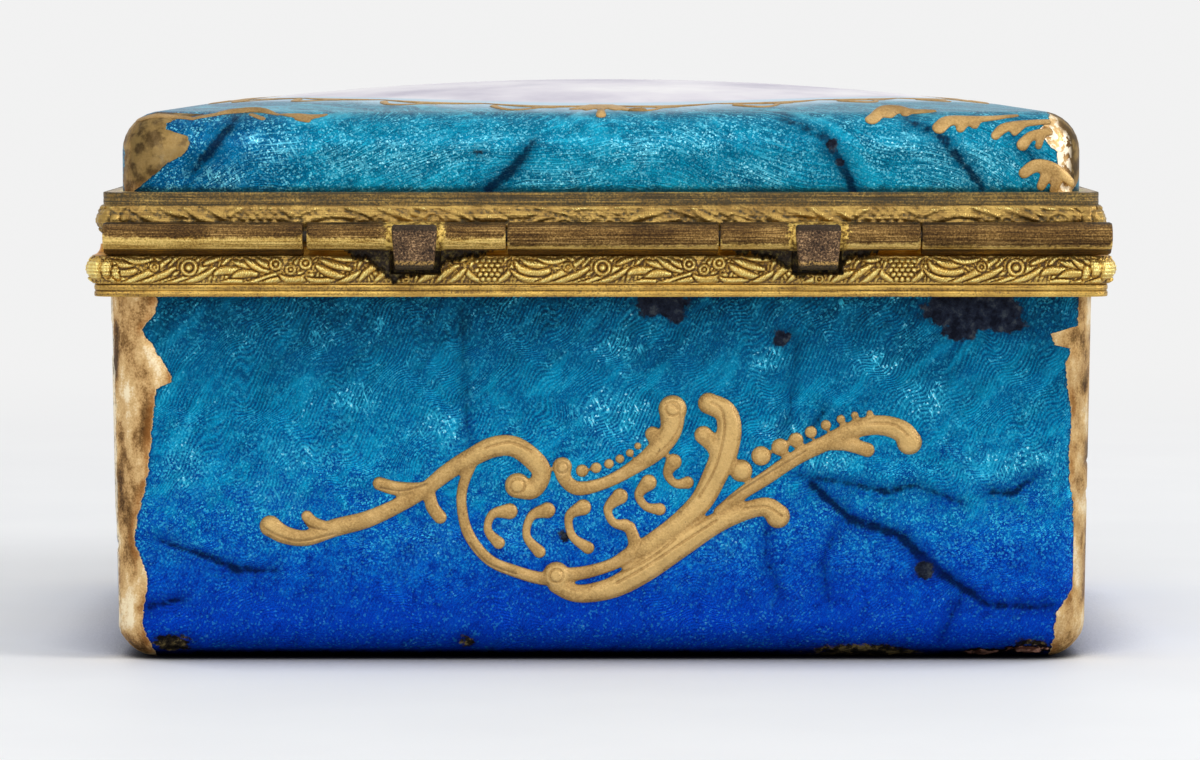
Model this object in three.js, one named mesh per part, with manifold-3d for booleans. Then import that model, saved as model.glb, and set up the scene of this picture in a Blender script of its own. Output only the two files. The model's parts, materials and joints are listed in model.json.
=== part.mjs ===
// Enamelled copper jewelry box with a hinged, gently domed lid and gilt brass mounts.
// Millimetres, +Z up. The origin is the middle of the underside, the front faces -Y
// and the hinge runs along the back, on +Y.

import * as THREE from "three";
import { mergeVertices } from "three/addons/utils/BufferGeometryUtils.js";
import Module from "manifold-3d";

const wasm = await Module();
wasm.setup();

// Enamelled body
const bodyWidth = 99;
const bodyDepth = 74;
const partingHeight = 42;
const bodyWall = 1.5;
const baseThickness = 1.6;
const bodyTaper = 0.5;
const cornerRadius = 4.2;
const baseEdgeRadius = 3.8;

// Enamelled lid, a little smaller all round than the body
const lidInset = 1.1;
const lidWall = 1.4;
const lidShoulderHeight = 13.3;
const lidEdgeRadius = 4;
const lidCrown = 3;

// Moulding of the two mounts, from the parting line outwards over the wall
const landOut = 0.75;
const coveDrop = 1.1;
const bandOut = 1.5;
const bandHeight = 2.8;
const bandBulge = 0.42;
const filletCount = 2;
const filletOut = 1.36;
const filletHeight = 0.51;
const grooveWidth = 0.14;
const grooveDepth = 0.3;
const upperMountProud = 0.25;
const mountCornerRadius = 1.9;
const wallGrip = 0.7;
const channelFit = 0.1;
const innerLegReach = 0.8;

// Bezel, the upstand inside the lower mount that centres the lid
const bezelInset = 3.5;
const bezelThickness = 0.8;
const bezelRise = 1.5;
const bezelDrop = 4;
const bezelCornerRadius = 1.6;
const lidFit = 0.35;

// Hinge, cut and set by hand: its barrel and its middle knuckle stand a little to the left
const hingeOverhang = 0.85;
const barrelShift = -0.65;
const centreKnuckleLength = 21.2;
const centreKnuckleShift = -1.2;
const lidKnuckleLength = 20.1;
const hingeRise = 0.9;
const knuckleRadius = 1.4;
const knuckleGap = 0.3;
const knuckleEndGap = 0.2;
const pinRadius = 0.55;
const pinFit = 0.25;
const lidOpening = 95;

// Stop blocks on the two lid knuckles, and the pockets that they swing into
const stopWidth = 4.5;
const stopDrop = 3.3;
const stopOut = 2.3;
const rightStopOffset = -0.9;
const leftStopOffset = 0.25;
const stopFit = 0.3;
const filedNear = 4.2;
const filedFar = 6.2;
const filedDepth = 1.1;
const filedDrop = 3.3;

// Thumb piece on the front of the lid
const thumbWidth = 9;
const thumbReach = 2.6;
const thumbThickness = 1.7;
const thumbLift = 0.9;

// Facets
const cornerSteps = 8;
const edgeSteps = 6;
const domeSteps = 8;
const arcStep = 15;

const rimHeight = coveDrop + bandHeight + filletCount * (filletHeight + grooveWidth);
const bodyWallTop = partingHeight - rimHeight + wallGrip;
const lidWallBottom = rimHeight - wallGrip;
const hingeY = bodyDepth / 2 + hingeReach();
const barrelHalf = bodyWidth / 2 + hingeOverhang;
const centreKnuckleHalf = centreKnuckleLength / 2;

const enamelBlue = new THREE.MeshStandardMaterial({ color: 0x0a6fae, roughness: 0.2, metalness: 0.1 });
const enamelTurquoise = new THREE.MeshStandardMaterial({ color: 0x0f93a8, roughness: 0.2, metalness: 0.1 });
const giltBrass = new THREE.MeshStandardMaterial({ color: 0xc9a13c, roughness: 0.35, metalness: 1 });
const wornBrass = new THREE.MeshStandardMaterial({ color: 0x8c6b45, roughness: 0.45, metalness: 1 });
const steel = new THREE.MeshStandardMaterial({ color: 0x77726a, roughness: 0.4, metalness: 1 });

function degrees(angle) {
  return THREE.MathUtils.degToRad(angle);
}

// A rounded rectangle at one height, anticlockwise from the +X side.
function roundedLoop(halfX, halfY, radius, z, steps) {
  const points = [];
  for (let corner = 0; corner < 4; corner += 1) {
    const signX = corner === 0 || corner === 3 ? 1 : -1;
    const signY = corner < 2 ? 1 : -1;
    for (let step = 0; step <= steps; step += 1) {
      const angle = degrees(90 * (corner + step / steps));
      const x = signX * (halfX - radius) + radius * Math.cos(angle);
      const y = signY * (halfY - radius) + radius * Math.sin(angle);
      points.push(new THREE.Vector3(x, y, z));
    }
  }
  return points;
}

function geometryFrom(points, triangles) {
  const geometry = new THREE.BufferGeometry();
  const coordinates = points.flatMap((point) => point.toArray());
  geometry.setAttribute("position", new THREE.Float32BufferAttribute(coordinates, 3));
  geometry.setIndex(triangles.flat());
  return geometry;
}

// Skin over a stack of loops with equal counts. An open stack is capped at both ends,
// and a closed one runs back into its first loop, as a ring does.
function loft(loops, closed = false) {
  const count = loops[0].length;
  const triangles = [];
  const bands = closed ? loops.length : loops.length - 1;
  for (let band = 0; band < bands; band += 1) {
    const next = (band + 1) % loops.length;
    for (let i = 0; i < count; i += 1) {
      const j = (i + 1) % count;
      const corners = [band * count + i, band * count + j, next * count + j, next * count + i];
      triangles.push([corners[0], corners[1], corners[2]], [corners[0], corners[2], corners[3]]);
    }
  }
  if (!closed) {
    const last = (loops.length - 1) * count;
    for (const [a, b, c] of capTriangles(loops[0])) {
      triangles.push([a, c, b]);
    }
    for (const [a, b, c] of capTriangles(loops.at(-1))) {
      triangles.push([last + a, last + b, last + c]);
    }
  }
  return geometryFrom(loops.flat(), triangles);
}

function capTriangles(loop) {
  const outline = loop.map((point) => new THREE.Vector2(point.x, point.y));
  return THREE.ShapeUtils.triangulateShape(outline, []);
}

// One mitred length of a mount. The section holds [out, up, corner radius] rows and follows
// the wall from the middle of one corner to the middle of the next.
function mountLength(section, halfX, halfY, side) {
  const rows = section.map(([out, up, radius]) => {
    const loop = roundedLoop(halfX + out, halfY + out, radius, up, cornerSteps);
    const first = side * (cornerSteps + 1) + cornerSteps / 2;
    const stations = cornerSteps + 2;
    return Array.from({ length: stations }, (_, i) => loop[(first + i) % loop.length]);
  });
  const stations = rows[0].length;
  const points = rows.flat();
  const triangles = [];
  rows.forEach((row, j) => {
    const next = (j + 1) % rows.length;
    for (let i = 0; i + 1 < stations; i += 1) {
      const a = j * stations + i;
      const b = next * stations + i;
      triangles.push([a, a + 1, b + 1], [a, b + 1, b]);
    }
  });
  const mitre = rows.map((row) => new THREE.Vector2(Math.hypot(row[0].x, row[0].y), row[0].z));
  for (const [a, b, c] of THREE.ShapeUtils.triangulateShape(mitre, [])) {
    triangles.push([a * stations, b * stations, c * stations]);
    const end = stations - 1;
    triangles.push([a * stations + end, c * stations + end, b * stations + end]);
  }
  return geometryFrom(points, triangles);
}

// Outer face of the moulding as [out, up] rows, from the parting line to the last fillet:
// a cove, the bulging band that carries the ornament, and the plain fillets.
function mouldingFace() {
  const face = [];
  const coveSteps = 4;
  for (let step = 0; step < coveSteps; step += 1) {
    const angle = degrees((90 * step) / coveSteps);
    face.push([landOut + (bandOut - landOut) * (1 - Math.cos(angle)), coveDrop * Math.sin(angle)]);
  }
  const bandSteps = 6;
  for (let step = 0; step <= bandSteps; step += 1) {
    const share = step / bandSteps;
    face.push([bandOut + bandBulge * Math.sin(Math.PI * share), coveDrop + bandHeight * share]);
  }
  let up = coveDrop + bandHeight;
  for (let fillet = 0; fillet < filletCount; fillet += 1) {
    face.push([filletOut - grooveDepth, up + grooveWidth / 2]);
    up += grooveWidth;
    face.push([filletOut, up]);
    up += filletHeight;
    face.push([filletOut, up]);
  }
  return face;
}

// How far behind the body's wall the hinge axis lies, so that the barrel clears both mounts.
function hingeReach() {
  const clear = knuckleRadius + knuckleGap;
  const lower = mouldingFace().map(([out, up]) => [out, -up]);
  const upper = mouldingFace().map(([out, up]) => [out + upperMountProud - lidInset, up]);
  const reaches = [...lower, ...upper]
    .filter(([, up]) => Math.abs(up - hingeRise) < clear)
    .map(([out, up]) => out + Math.sqrt(clear ** 2 - (up - hingeRise) ** 2));
  return Math.max(...reaches);
}

// Whole section of a mount: the moulding, the channel that grips the wall, the inner leg
// and the flat land at the parting line.
function mountSection(proud, wall, inner, innerRadius) {
  const face = mouldingFace().map(([out, up]) => [out + proud, up, mountCornerRadius]);
  const leg = wall + channelFit;
  const channel = [
    [0, rimHeight, cornerRadius],
    [0, rimHeight - wallGrip, cornerRadius],
    [-leg, rimHeight - wallGrip, cornerRadius - leg],
    [-leg, rimHeight + innerLegReach, cornerRadius - leg],
    [-inner, rimHeight + innerLegReach, innerRadius],
    [-inner, 0, innerRadius],
  ];
  return [...face, ...channel];
}

function hangDown(section) {
  return section.map(([out, up, radius]) => [out, -up, radius]).reverse();
}

function toSolid(geometry) {
  const bare = geometry.clone();
  bare.deleteAttribute("normal");
  bare.deleteAttribute("uv");
  const merged = mergeVertices(bare, 1e-5);
  const mesh = new wasm.Mesh({
    numProp: 3,
    vertProperties: new Float32Array(merged.attributes.position.array),
    triVerts: new Uint32Array(merged.index.array),
  });
  return new wasm.Manifold(mesh);
}

function fromSolid(solid) {
  const mesh = solid.getMesh();
  const geometry = new THREE.BufferGeometry();
  geometry.setAttribute("position", new THREE.BufferAttribute(mesh.vertProperties, 3));
  geometry.setIndex(new THREE.BufferAttribute(mesh.triVerts, 1));
  return geometry;
}

// A section drawn in Y and Z, run along X and centred on it.
function runAlongX(outline, length, bore) {
  const shape = new THREE.Shape(outline);
  if (bore) {
    shape.holes.push(new THREE.Path(bore));
  }
  const geometry = new THREE.ExtrudeGeometry(shape, { depth: length, bevelEnabled: false });
  geometry.translate(0, 0, -length / 2);
  const turn = new THREE.Matrix4().makeBasis(
    new THREE.Vector3(0, 1, 0),
    new THREE.Vector3(0, 0, 1),
    new THREE.Vector3(1, 0, 0),
  );
  return geometry.applyMatrix4(turn);
}

function arc(radius, from, to) {
  const points = [];
  const count = Math.round(Math.abs(to - from) / arcStep);
  for (let i = 0; i <= count; i += 1) {
    const angle = degrees(from + ((to - from) * i) / count);
    points.push(new THREE.Vector2(radius * Math.cos(angle), radius * Math.sin(angle)));
  }
  return points;
}

function circle(radius) {
  return arc(radius, 0, 360 - arcStep);
}

function bodyShell() {
  const halfX = bodyWidth / 2;
  const halfY = bodyDepth / 2;
  const loops = [];
  const leanAt = (z) => bodyTaper * (1 - z / bodyWallTop);
  const addLoop = (inset, z) => {
    const radius = Math.max(cornerRadius - inset, 0.3);
    const away = inset + leanAt(z);
    loops.push(roundedLoop(halfX - away, halfY - away, radius, z, cornerSteps));
  };
  for (let step = 0; step <= edgeSteps; step += 1) {
    const angle = degrees((90 * step) / edgeSteps);
    addLoop(baseEdgeRadius * (1 - Math.sin(angle)), baseEdgeRadius * (1 - Math.cos(angle)));
  }
  addLoop(0, bodyWallTop);
  addLoop(bodyWall, bodyWallTop);
  const innerRadius = baseEdgeRadius - bodyWall;
  for (let step = edgeSteps; step >= 0; step -= 1) {
    const angle = degrees((90 * step) / edgeSteps);
    const inset = bodyWall + innerRadius * (1 - Math.sin(angle));
    addLoop(inset, baseThickness + innerRadius * (1 - Math.cos(angle)));
  }
  return loft(loops);
}

// The lid from its wall edge up, over the rounded shoulder and the crowned top.
// Given a wall thickness, it is the inside of the lid instead.
function lidSkin(wall) {
  const halfX = bodyWidth / 2 - lidInset;
  const halfY = bodyDepth / 2 - lidInset;
  const radius = lidEdgeRadius - wall;
  const shoulder = lidShoulderHeight - lidEdgeRadius;
  const loops = [roundedLoop(halfX - wall, halfY - wall, cornerRadius - wall, lidWallBottom, cornerSteps)];
  for (let step = 0; step <= edgeSteps; step += 1) {
    const angle = degrees((90 * step) / edgeSteps);
    const inset = wall + radius * (1 - Math.cos(angle));
    const corner = cornerRadius - inset;
    const z = shoulder + radius * Math.sin(angle);
    loops.push(roundedLoop(halfX - inset, halfY - inset, corner, z, cornerSteps));
  }
  const topX = halfX - lidEdgeRadius;
  const topY = halfY - lidEdgeRadius;
  for (let step = 1; step < domeSteps; step += 1) {
    const share = 1 - step / domeSteps;
    const corner = THREE.MathUtils.lerp(cornerRadius - lidEdgeRadius, topY * share, 1 - share);
    const loop = roundedLoop(topX * share, topY * share, corner, shoulder + radius, cornerSteps);
    for (const point of loop) {
      point.z += lidCrown * (1 - (point.x / topX) ** 2) * (1 - (point.y / topY) ** 2);
    }
    loops.push(loop);
  }
  return loops;
}

function lidShell() {
  return loft([...lidSkin(lidWall).reverse(), ...lidSkin(0)]);
}

function bezelRing() {
  const ringAt = (inset, z) => {
    const radius = Math.max(bezelCornerRadius - (inset - bezelInset), 0.3);
    return roundedLoop(bodyWidth / 2 - inset, bodyDepth / 2 - inset, radius, z, cornerSteps);
  };
  const lead = bezelThickness / 3;
  const outer = bezelInset;
  const inner = bezelInset + bezelThickness;
  return loft(
    [
      ringAt(outer, -bezelDrop),
      ringAt(outer, bezelRise - lead),
      ringAt(outer + lead, bezelRise),
      ringAt(inner, bezelRise),
      ringAt(inner, -bezelDrop),
    ],
    true,
  );
}

// Knuckle sections are drawn about the hinge axis. Each knuckle has a small foot that
// follows the cove of the mount to which it is brazed.
function coveFromAxis(proud, wallPlane, side, first, last) {
  const rows = mouldingFace().slice(first, last);
  return rows.map(([out, up]) => new THREE.Vector2(wallPlane + out + proud - hingeY, side * up - hingeRise));
}

function bodyKnuckle(length) {
  const foot = coveFromAxis(0, bodyDepth / 2, -1, 0, 4);
  const hollow = new THREE.Vector2(-0.15 * knuckleRadius, -1.2 * knuckleRadius);
  const outline = [...foot, hollow, ...arc(knuckleRadius, -75, 195)];
  return runAlongX(outline, length, circle(pinRadius));
}

function lidKnuckle(length) {
  const foot = coveFromAxis(upperMountProud, bodyDepth / 2 - lidInset, 1, 1, 5).reverse();
  const outline = [...arc(knuckleRadius, -165, 105), ...foot];
  return runAlongX(outline, length, circle(pinRadius + pinFit));
}

function stopBlock() {
  const saddle = arc(knuckleRadius, -90, 60);
  const top = saddle.at(-1).y;
  const outline = [
    new THREE.Vector2(0, -stopDrop),
    new THREE.Vector2(stopOut, -stopDrop),
    new THREE.Vector2(stopOut, top),
    ...saddle.reverse(),
  ];
  return runAlongX(outline, stopWidth, null);
}

function boxBetween(low, high) {
  const size = high.clone().sub(low);
  const geometry = new THREE.BoxGeometry(size.x, size.y, size.z);
  return geometry.translate(...high.clone().add(low).multiplyScalar(0.5).toArray());
}

// Where a stop block swings when the lid opens: a pocket as deep as the block reaches,
// and a wider hollow filed in the face of the moulding.
function stopPocket(x) {
  const openAngle = degrees(lidOpening);
  const reach = stopDrop * Math.sin(openAngle) - stopOut * Math.cos(openAngle);
  const wall = hingeY - Math.max(reach, stopDrop) - stopFit / 3;
  const floor = hingeRise - Math.hypot(stopDrop, stopOut) - stopFit;
  const half = stopWidth / 2 + stopFit;
  const outside = hingeY + stopOut;
  const pocket = boxBetween(new THREE.Vector3(x - half, wall, floor), new THREE.Vector3(x + half, outside, 1));
  const outline = new THREE.Shape([
    new THREE.Vector2(x - filedNear, 1),
    new THREE.Vector2(x - filedNear, -filedDrop / 3),
    new THREE.Vector2(x - half, -filedDrop),
    new THREE.Vector2(x + half, -filedDrop),
    new THREE.Vector2(x + filedFar, -filedDrop / 6),
    new THREE.Vector2(x + filedFar, 1),
  ]);
  const filed = new THREE.ExtrudeGeometry(outline, { depth: outside, bevelEnabled: false });
  filed.rotateX(Math.PI / 2);
  filed.translate(0, bodyDepth / 2 + bandOut + bandBulge - filedDepth + outside, 0);
  return toSolid(pocket).add(toSolid(filed));
}

function thumbTab() {
  const half = thumbWidth / 2;
  const face = bodyDepth / 2 - lidInset + bandOut + upperMountProud;
  const outline = new THREE.Shape();
  outline.moveTo(-half, 0);
  outline.lineTo(-half, bandOut);
  outline.quadraticCurveTo(-half * 0.8, bandOut + thumbReach, -half * 0.35, bandOut + thumbReach * 0.85);
  outline.quadraticCurveTo(0, bandOut + thumbReach * 1.25, half * 0.35, bandOut + thumbReach * 0.85);
  outline.quadraticCurveTo(half * 0.8, bandOut + thumbReach, half, bandOut);
  outline.lineTo(half, 0);
  const bevel = 0.3;
  const geometry = new THREE.ExtrudeGeometry(outline, {
    depth: thumbThickness - 2 * bevel,
    bevelThickness: bevel,
    bevelSize: bevel,
    bevelOffset: -bevel,
    bevelSegments: 2,
    curveSegments: 6,
  });
  geometry.translate(0, -face - thumbReach, thumbLift + bevel);
  return geometry;
}

function named(name, geometry, material) {
  const mesh = new THREE.Mesh(geometry, material);
  mesh.name = name;
  return mesh;
}

const sides = ["back", "left", "front", "right"];

const box = new THREE.Group();
box.add(named("body_shell", bodyShell(), enamelBlue));

const lowerMount = new THREE.Group();
lowerMount.position.z = partingHeight;
box.add(lowerMount);

const lid = new THREE.Group();
lid.position.z = partingHeight;
box.add(lid);
lid.add(named("lid_shell", lidShell(), enamelTurquoise));

// Ends of the knuckles from right to left, and the stop blocks near the middle of the lid's two.
const knuckleEnds = [
  barrelShift + barrelHalf,
  centreKnuckleShift + centreKnuckleHalf + lidKnuckleLength,
  centreKnuckleShift + centreKnuckleHalf,
  centreKnuckleShift - centreKnuckleHalf,
  centreKnuckleShift - centreKnuckleHalf - lidKnuckleLength,
  barrelShift - barrelHalf,
];
const stopPlaces = {
  right: (knuckleEnds[1] + knuckleEnds[2]) / 2 + rightStopOffset,
  left: (knuckleEnds[3] + knuckleEnds[4]) / 2 + leftStopOffset,
};

const lowerSection = hangDown(mountSection(0, bodyWall, bezelInset, bezelCornerRadius));
const upperInner = bezelInset - lidInset - lidFit;
const upperSection = mountSection(upperMountProud, lidWall, upperInner, bezelCornerRadius + lidFit);
sides.forEach((side, corner) => {
  let lower = mountLength(lowerSection, bodyWidth / 2, bodyDepth / 2, corner);
  if (side === "back") {
    const pockets = Object.values(stopPlaces).map(stopPocket);
    lower = fromSolid(pockets.reduce((solid, pocket) => solid.subtract(pocket), toSolid(lower)));
  }
  lowerMount.add(named(`lower_mount_${side}`, lower, giltBrass));
  const upper = mountLength(upperSection, bodyWidth / 2 - lidInset, bodyDepth / 2 - lidInset, corner);
  lid.add(named(`upper_mount_${side}`, upper, giltBrass));
});
lowerMount.add(named("lid_bezel", bezelRing(), giltBrass));

const front = toSolid(mountLength(upperSection, bodyWidth / 2 - lidInset, bodyDepth / 2 - lidInset, 2));
const thumb = toSolid(thumbTab()).subtract(front);
lid.add(named("thumb_piece", fromSolid(thumb), giltBrass));

const bodyHinge = new THREE.Group();
bodyHinge.position.set(0, hingeY, hingeRise);
lowerMount.add(bodyHinge);
const lidHinge = new THREE.Group();
lidHinge.position.copy(bodyHinge.position);
lid.add(lidHinge);

const knuckleNames = ["outer_right", "lid_right", "centre", "lid_left", "outer_left"];
knuckleNames.forEach((place, i) => {
  const onLid = place.startsWith("lid");
  const length = knuckleEnds[i] - knuckleEnds[i + 1] - knuckleEndGap;
  const knuckle = named(`knuckle_${place}`, onLid ? lidKnuckle(length) : bodyKnuckle(length), wornBrass);
  knuckle.position.x = (knuckleEnds[i] + knuckleEnds[i + 1]) / 2;
  (onLid ? lidHinge : bodyHinge).add(knuckle);
});
for (const [place, x] of Object.entries(stopPlaces)) {
  const stop = named(`stop_block_${place}`, stopBlock(), wornBrass);
  stop.position.x = x;
  lidHinge.add(stop);
}
const pin = named("hinge_pin", runAlongX(circle(pinRadius), 2 * barrelHalf - knuckleEndGap, null), steel);
pin.position.x = barrelShift;
bodyHinge.add(pin);

export default box;
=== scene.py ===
# Enamelled jewelry box, seen from its hinge side. Metres, +Z up, hinge towards +Y.
import json
import math

import bmesh
import bpy
import numpy as np
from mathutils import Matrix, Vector


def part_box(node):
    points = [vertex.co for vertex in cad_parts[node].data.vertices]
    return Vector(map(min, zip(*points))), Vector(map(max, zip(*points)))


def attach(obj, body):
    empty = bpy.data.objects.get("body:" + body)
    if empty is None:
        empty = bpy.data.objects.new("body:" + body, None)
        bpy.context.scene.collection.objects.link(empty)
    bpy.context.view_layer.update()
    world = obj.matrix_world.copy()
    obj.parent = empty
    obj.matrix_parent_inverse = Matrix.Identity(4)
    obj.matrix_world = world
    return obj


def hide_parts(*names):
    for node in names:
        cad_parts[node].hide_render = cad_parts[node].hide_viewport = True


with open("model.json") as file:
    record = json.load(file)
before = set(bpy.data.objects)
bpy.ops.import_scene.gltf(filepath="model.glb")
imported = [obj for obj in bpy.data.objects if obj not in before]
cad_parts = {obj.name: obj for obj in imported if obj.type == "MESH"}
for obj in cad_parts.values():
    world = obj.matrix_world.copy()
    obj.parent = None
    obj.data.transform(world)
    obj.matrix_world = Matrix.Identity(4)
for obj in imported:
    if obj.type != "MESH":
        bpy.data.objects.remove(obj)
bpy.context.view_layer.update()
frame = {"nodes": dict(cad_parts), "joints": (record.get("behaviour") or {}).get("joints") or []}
nodes = frame["nodes"]
mm = 0.001
farOff = -9.0       # mm, the depth of a place that is nowhere near a mark

# what the frame says about places and sizes
bodyLow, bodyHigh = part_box("body_shell")
lidLow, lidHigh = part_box("lid_shell")
lowerLow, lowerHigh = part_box("lower_mount_back")
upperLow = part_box("upper_mount_back")[0]
hinge = Vector(frame["joints"][0]["pos_m"])
partingZ = lowerHigh.z
print("frame in place, parting line at", round(partingZ / mm, 2), "mm")


# Editing helpers

def only(piece):
    bpy.ops.object.select_all(action="DESELECT")
    piece.select_set(True)
    bpy.context.view_layer.objects.active = piece
    return piece


def edit(piece):
    only(piece)
    bpy.ops.object.mode_set(mode="EDIT")
    bpy.ops.mesh.select_all(action="DESELECT")


def editDone():
    bpy.ops.object.mode_set(mode="OBJECT")


def pick(piece, kind, test):
    bpy.ops.mesh.select_mode(type=kind)
    bpy.ops.mesh.select_all(action="DESELECT")
    work = bmesh.from_edit_mesh(piece.data)
    items = {"VERT": work.verts, "EDGE": work.edges, "FACE": work.faces}[kind]
    for item in items:
        if test(item):
            item.select_set(True)
    work.select_flush_mode()
    bmesh.update_edit_mesh(piece.data)


def span(edge, axis):
    return abs(edge.verts[0].co[axis] - edge.verts[1].co[axis])


def cutAcross(piece, axis, length, parts):
    # cuts the straight edges of about this length into parts, in two rounds because one takes 100 cuts at most
    first = math.ceil(math.sqrt(parts))
    for longest, count in ((length, first), (length / first, math.ceil(parts / first))):
        def straight(edge):
            others = [span(edge, other) for other in range(3) if other != axis]
            return span(edge, axis) > longest * 0.5 and max(others) < 1e-6
        pick(piece, "EDGE", straight)
        bpy.ops.mesh.subdivide(number_cuts=count - 1)


def settle(piece):
    only(piece)
    bpy.ops.object.transform_apply(location=True, rotation=True, scale=True)
    return piece


def applyAll(piece):
    only(piece)
    for modifier in list(piece.modifiers):
        bpy.ops.object.modifier_apply(modifier=modifier.name)


def join(name, pieces):
    bpy.ops.object.select_all(action="DESELECT")
    for piece in pieces:
        piece.select_set(True)
    bpy.context.view_layer.objects.active = pieces[0]
    bpy.ops.object.join()
    pieces[0].name = name
    pieces[0].data.name = name
    return pieces[0]


def smooth(piece, angle):
    only(piece)
    bpy.ops.object.shade_smooth_by_angle(angle=math.radians(angle))


def readPoints(piece):
    points = np.zeros(len(piece.data.vertices) * 3, np.float32)
    piece.data.vertices.foreach_get("co", points)
    return points.reshape(-1, 3).astype(float)


def writePoints(piece, points):
    piece.data.vertices.foreach_set("co", points.astype(np.float32).ravel())
    piece.data.update()


def writeValues(piece, **values):
    for name, value in values.items():
        layer = piece.data.attributes.new(name, "FLOAT", "POINT")
        layer.data.foreach_set("value", np.asarray(value, np.float32))


def facesOut(piece, inside=False):
    edit(piece)
    bpy.ops.mesh.select_all(action="SELECT")
    bpy.ops.mesh.normals_make_consistent(inside=inside)
    editDone()


def box(low, high):
    bpy.ops.object.select_all(action="DESELECT")
    bpy.ops.mesh.primitive_cube_add(size=1, location=(low + high) / 2, scale=high - low)
    return settle(bpy.context.object)


def evenSkin(piece, voxel, passes):
    # one even skin over all that the piece holds, then eased
    remesh = piece.modifiers.new("skin", "REMESH")
    remesh.mode = "VOXEL"
    remesh.voxel_size = voxel * mm
    ease = piece.modifiers.new("ease", "SMOOTH")
    ease.factor = 0.5
    ease.iterations = passes
    applyAll(piece)


def turnedTo(side, x, y):
    # what is shaped at the back, turned round to another side
    turn = math.radians({"back": 0, "right": -90, "front": 180, "left": 90}[side])
    c, s = math.cos(turn), math.sin(turn)
    return x * c - y * s, x * s + y * c


def finishPiece(piece, name, looks, angle, body, slot, *replaced):
    piece.name = name
    piece.data.name = name
    for look in looks:
        piece.data.materials.append(look)
    smooth(piece, angle)
    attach(piece, body)
    if replaced:
        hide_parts(*replaced)


# Node helpers

def colour(red, green, blue):
    # from the usual 0 to 255 values to the light values that the shader wants
    parts = [value / 255 for value in (red, green, blue)]
    return tuple(p / 12.92 if p < 0.04045 else ((p + 0.055) / 1.055) ** 2.4 for p in parts) + (1,)


def socket(value):
    return value.socket if isinstance(value, Value) else value


class Value:
    # a number that the shader works out, to be used in plain sums
    def __init__(self, look, socket):
        self.look = look
        self.socket = socket

    def __add__(self, other):
        return self.look.math("ADD", self, other)

    def __sub__(self, other):
        return self.look.math("SUBTRACT", self, other)

    def __rsub__(self, other):
        return self.look.math("SUBTRACT", other, self)

    def __mul__(self, other):
        return self.look.math("MULTIPLY", self, other)

    def __truediv__(self, other):
        return self.look.math("DIVIDE", self, other)

    def __pow__(self, other):
        return self.look.math("POWER", self, other)

    def __abs__(self):
        return self.look.math("ABSOLUTE", self)


class Nodes:
    def __init__(self, owner):
        owner.use_nodes = True
        self.tree = owner.node_tree
        self.tree.nodes.clear()

    def give(self, target, value):
        value = socket(value)
        if isinstance(value, bpy.types.NodeSocket):
            self.tree.links.new(value, target)
        else:
            target.default_value = value

    def add(self, kind, inputs=None, **settings):
        made = self.tree.nodes.new("ShaderNode" + kind)
        for key, value in settings.items():
            setattr(made, key, value)
        for key, value in (inputs or {}).items():
            self.give(made.inputs[key], value)
        return made

    def math(self, operation, a, b=0.0, c=0.0, clamp=False):
        made = self.add("Math", {0: a, 1: b, 2: c}, operation=operation, use_clamp=clamp)
        return Value(self, made.outputs[0])

    def larger(self, a, b):
        return self.math("MAXIMUM", a, b)

    def seen(self):
        # 1 where the camera sees a surface straight, mirrored or through glass
        rays = self.add("LightPath").outputs
        direct = self.larger(rays["Is Camera Ray"], rays["Is Glossy Ray"])
        return self.larger(direct, rays["Is Transmission Ray"])


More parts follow.
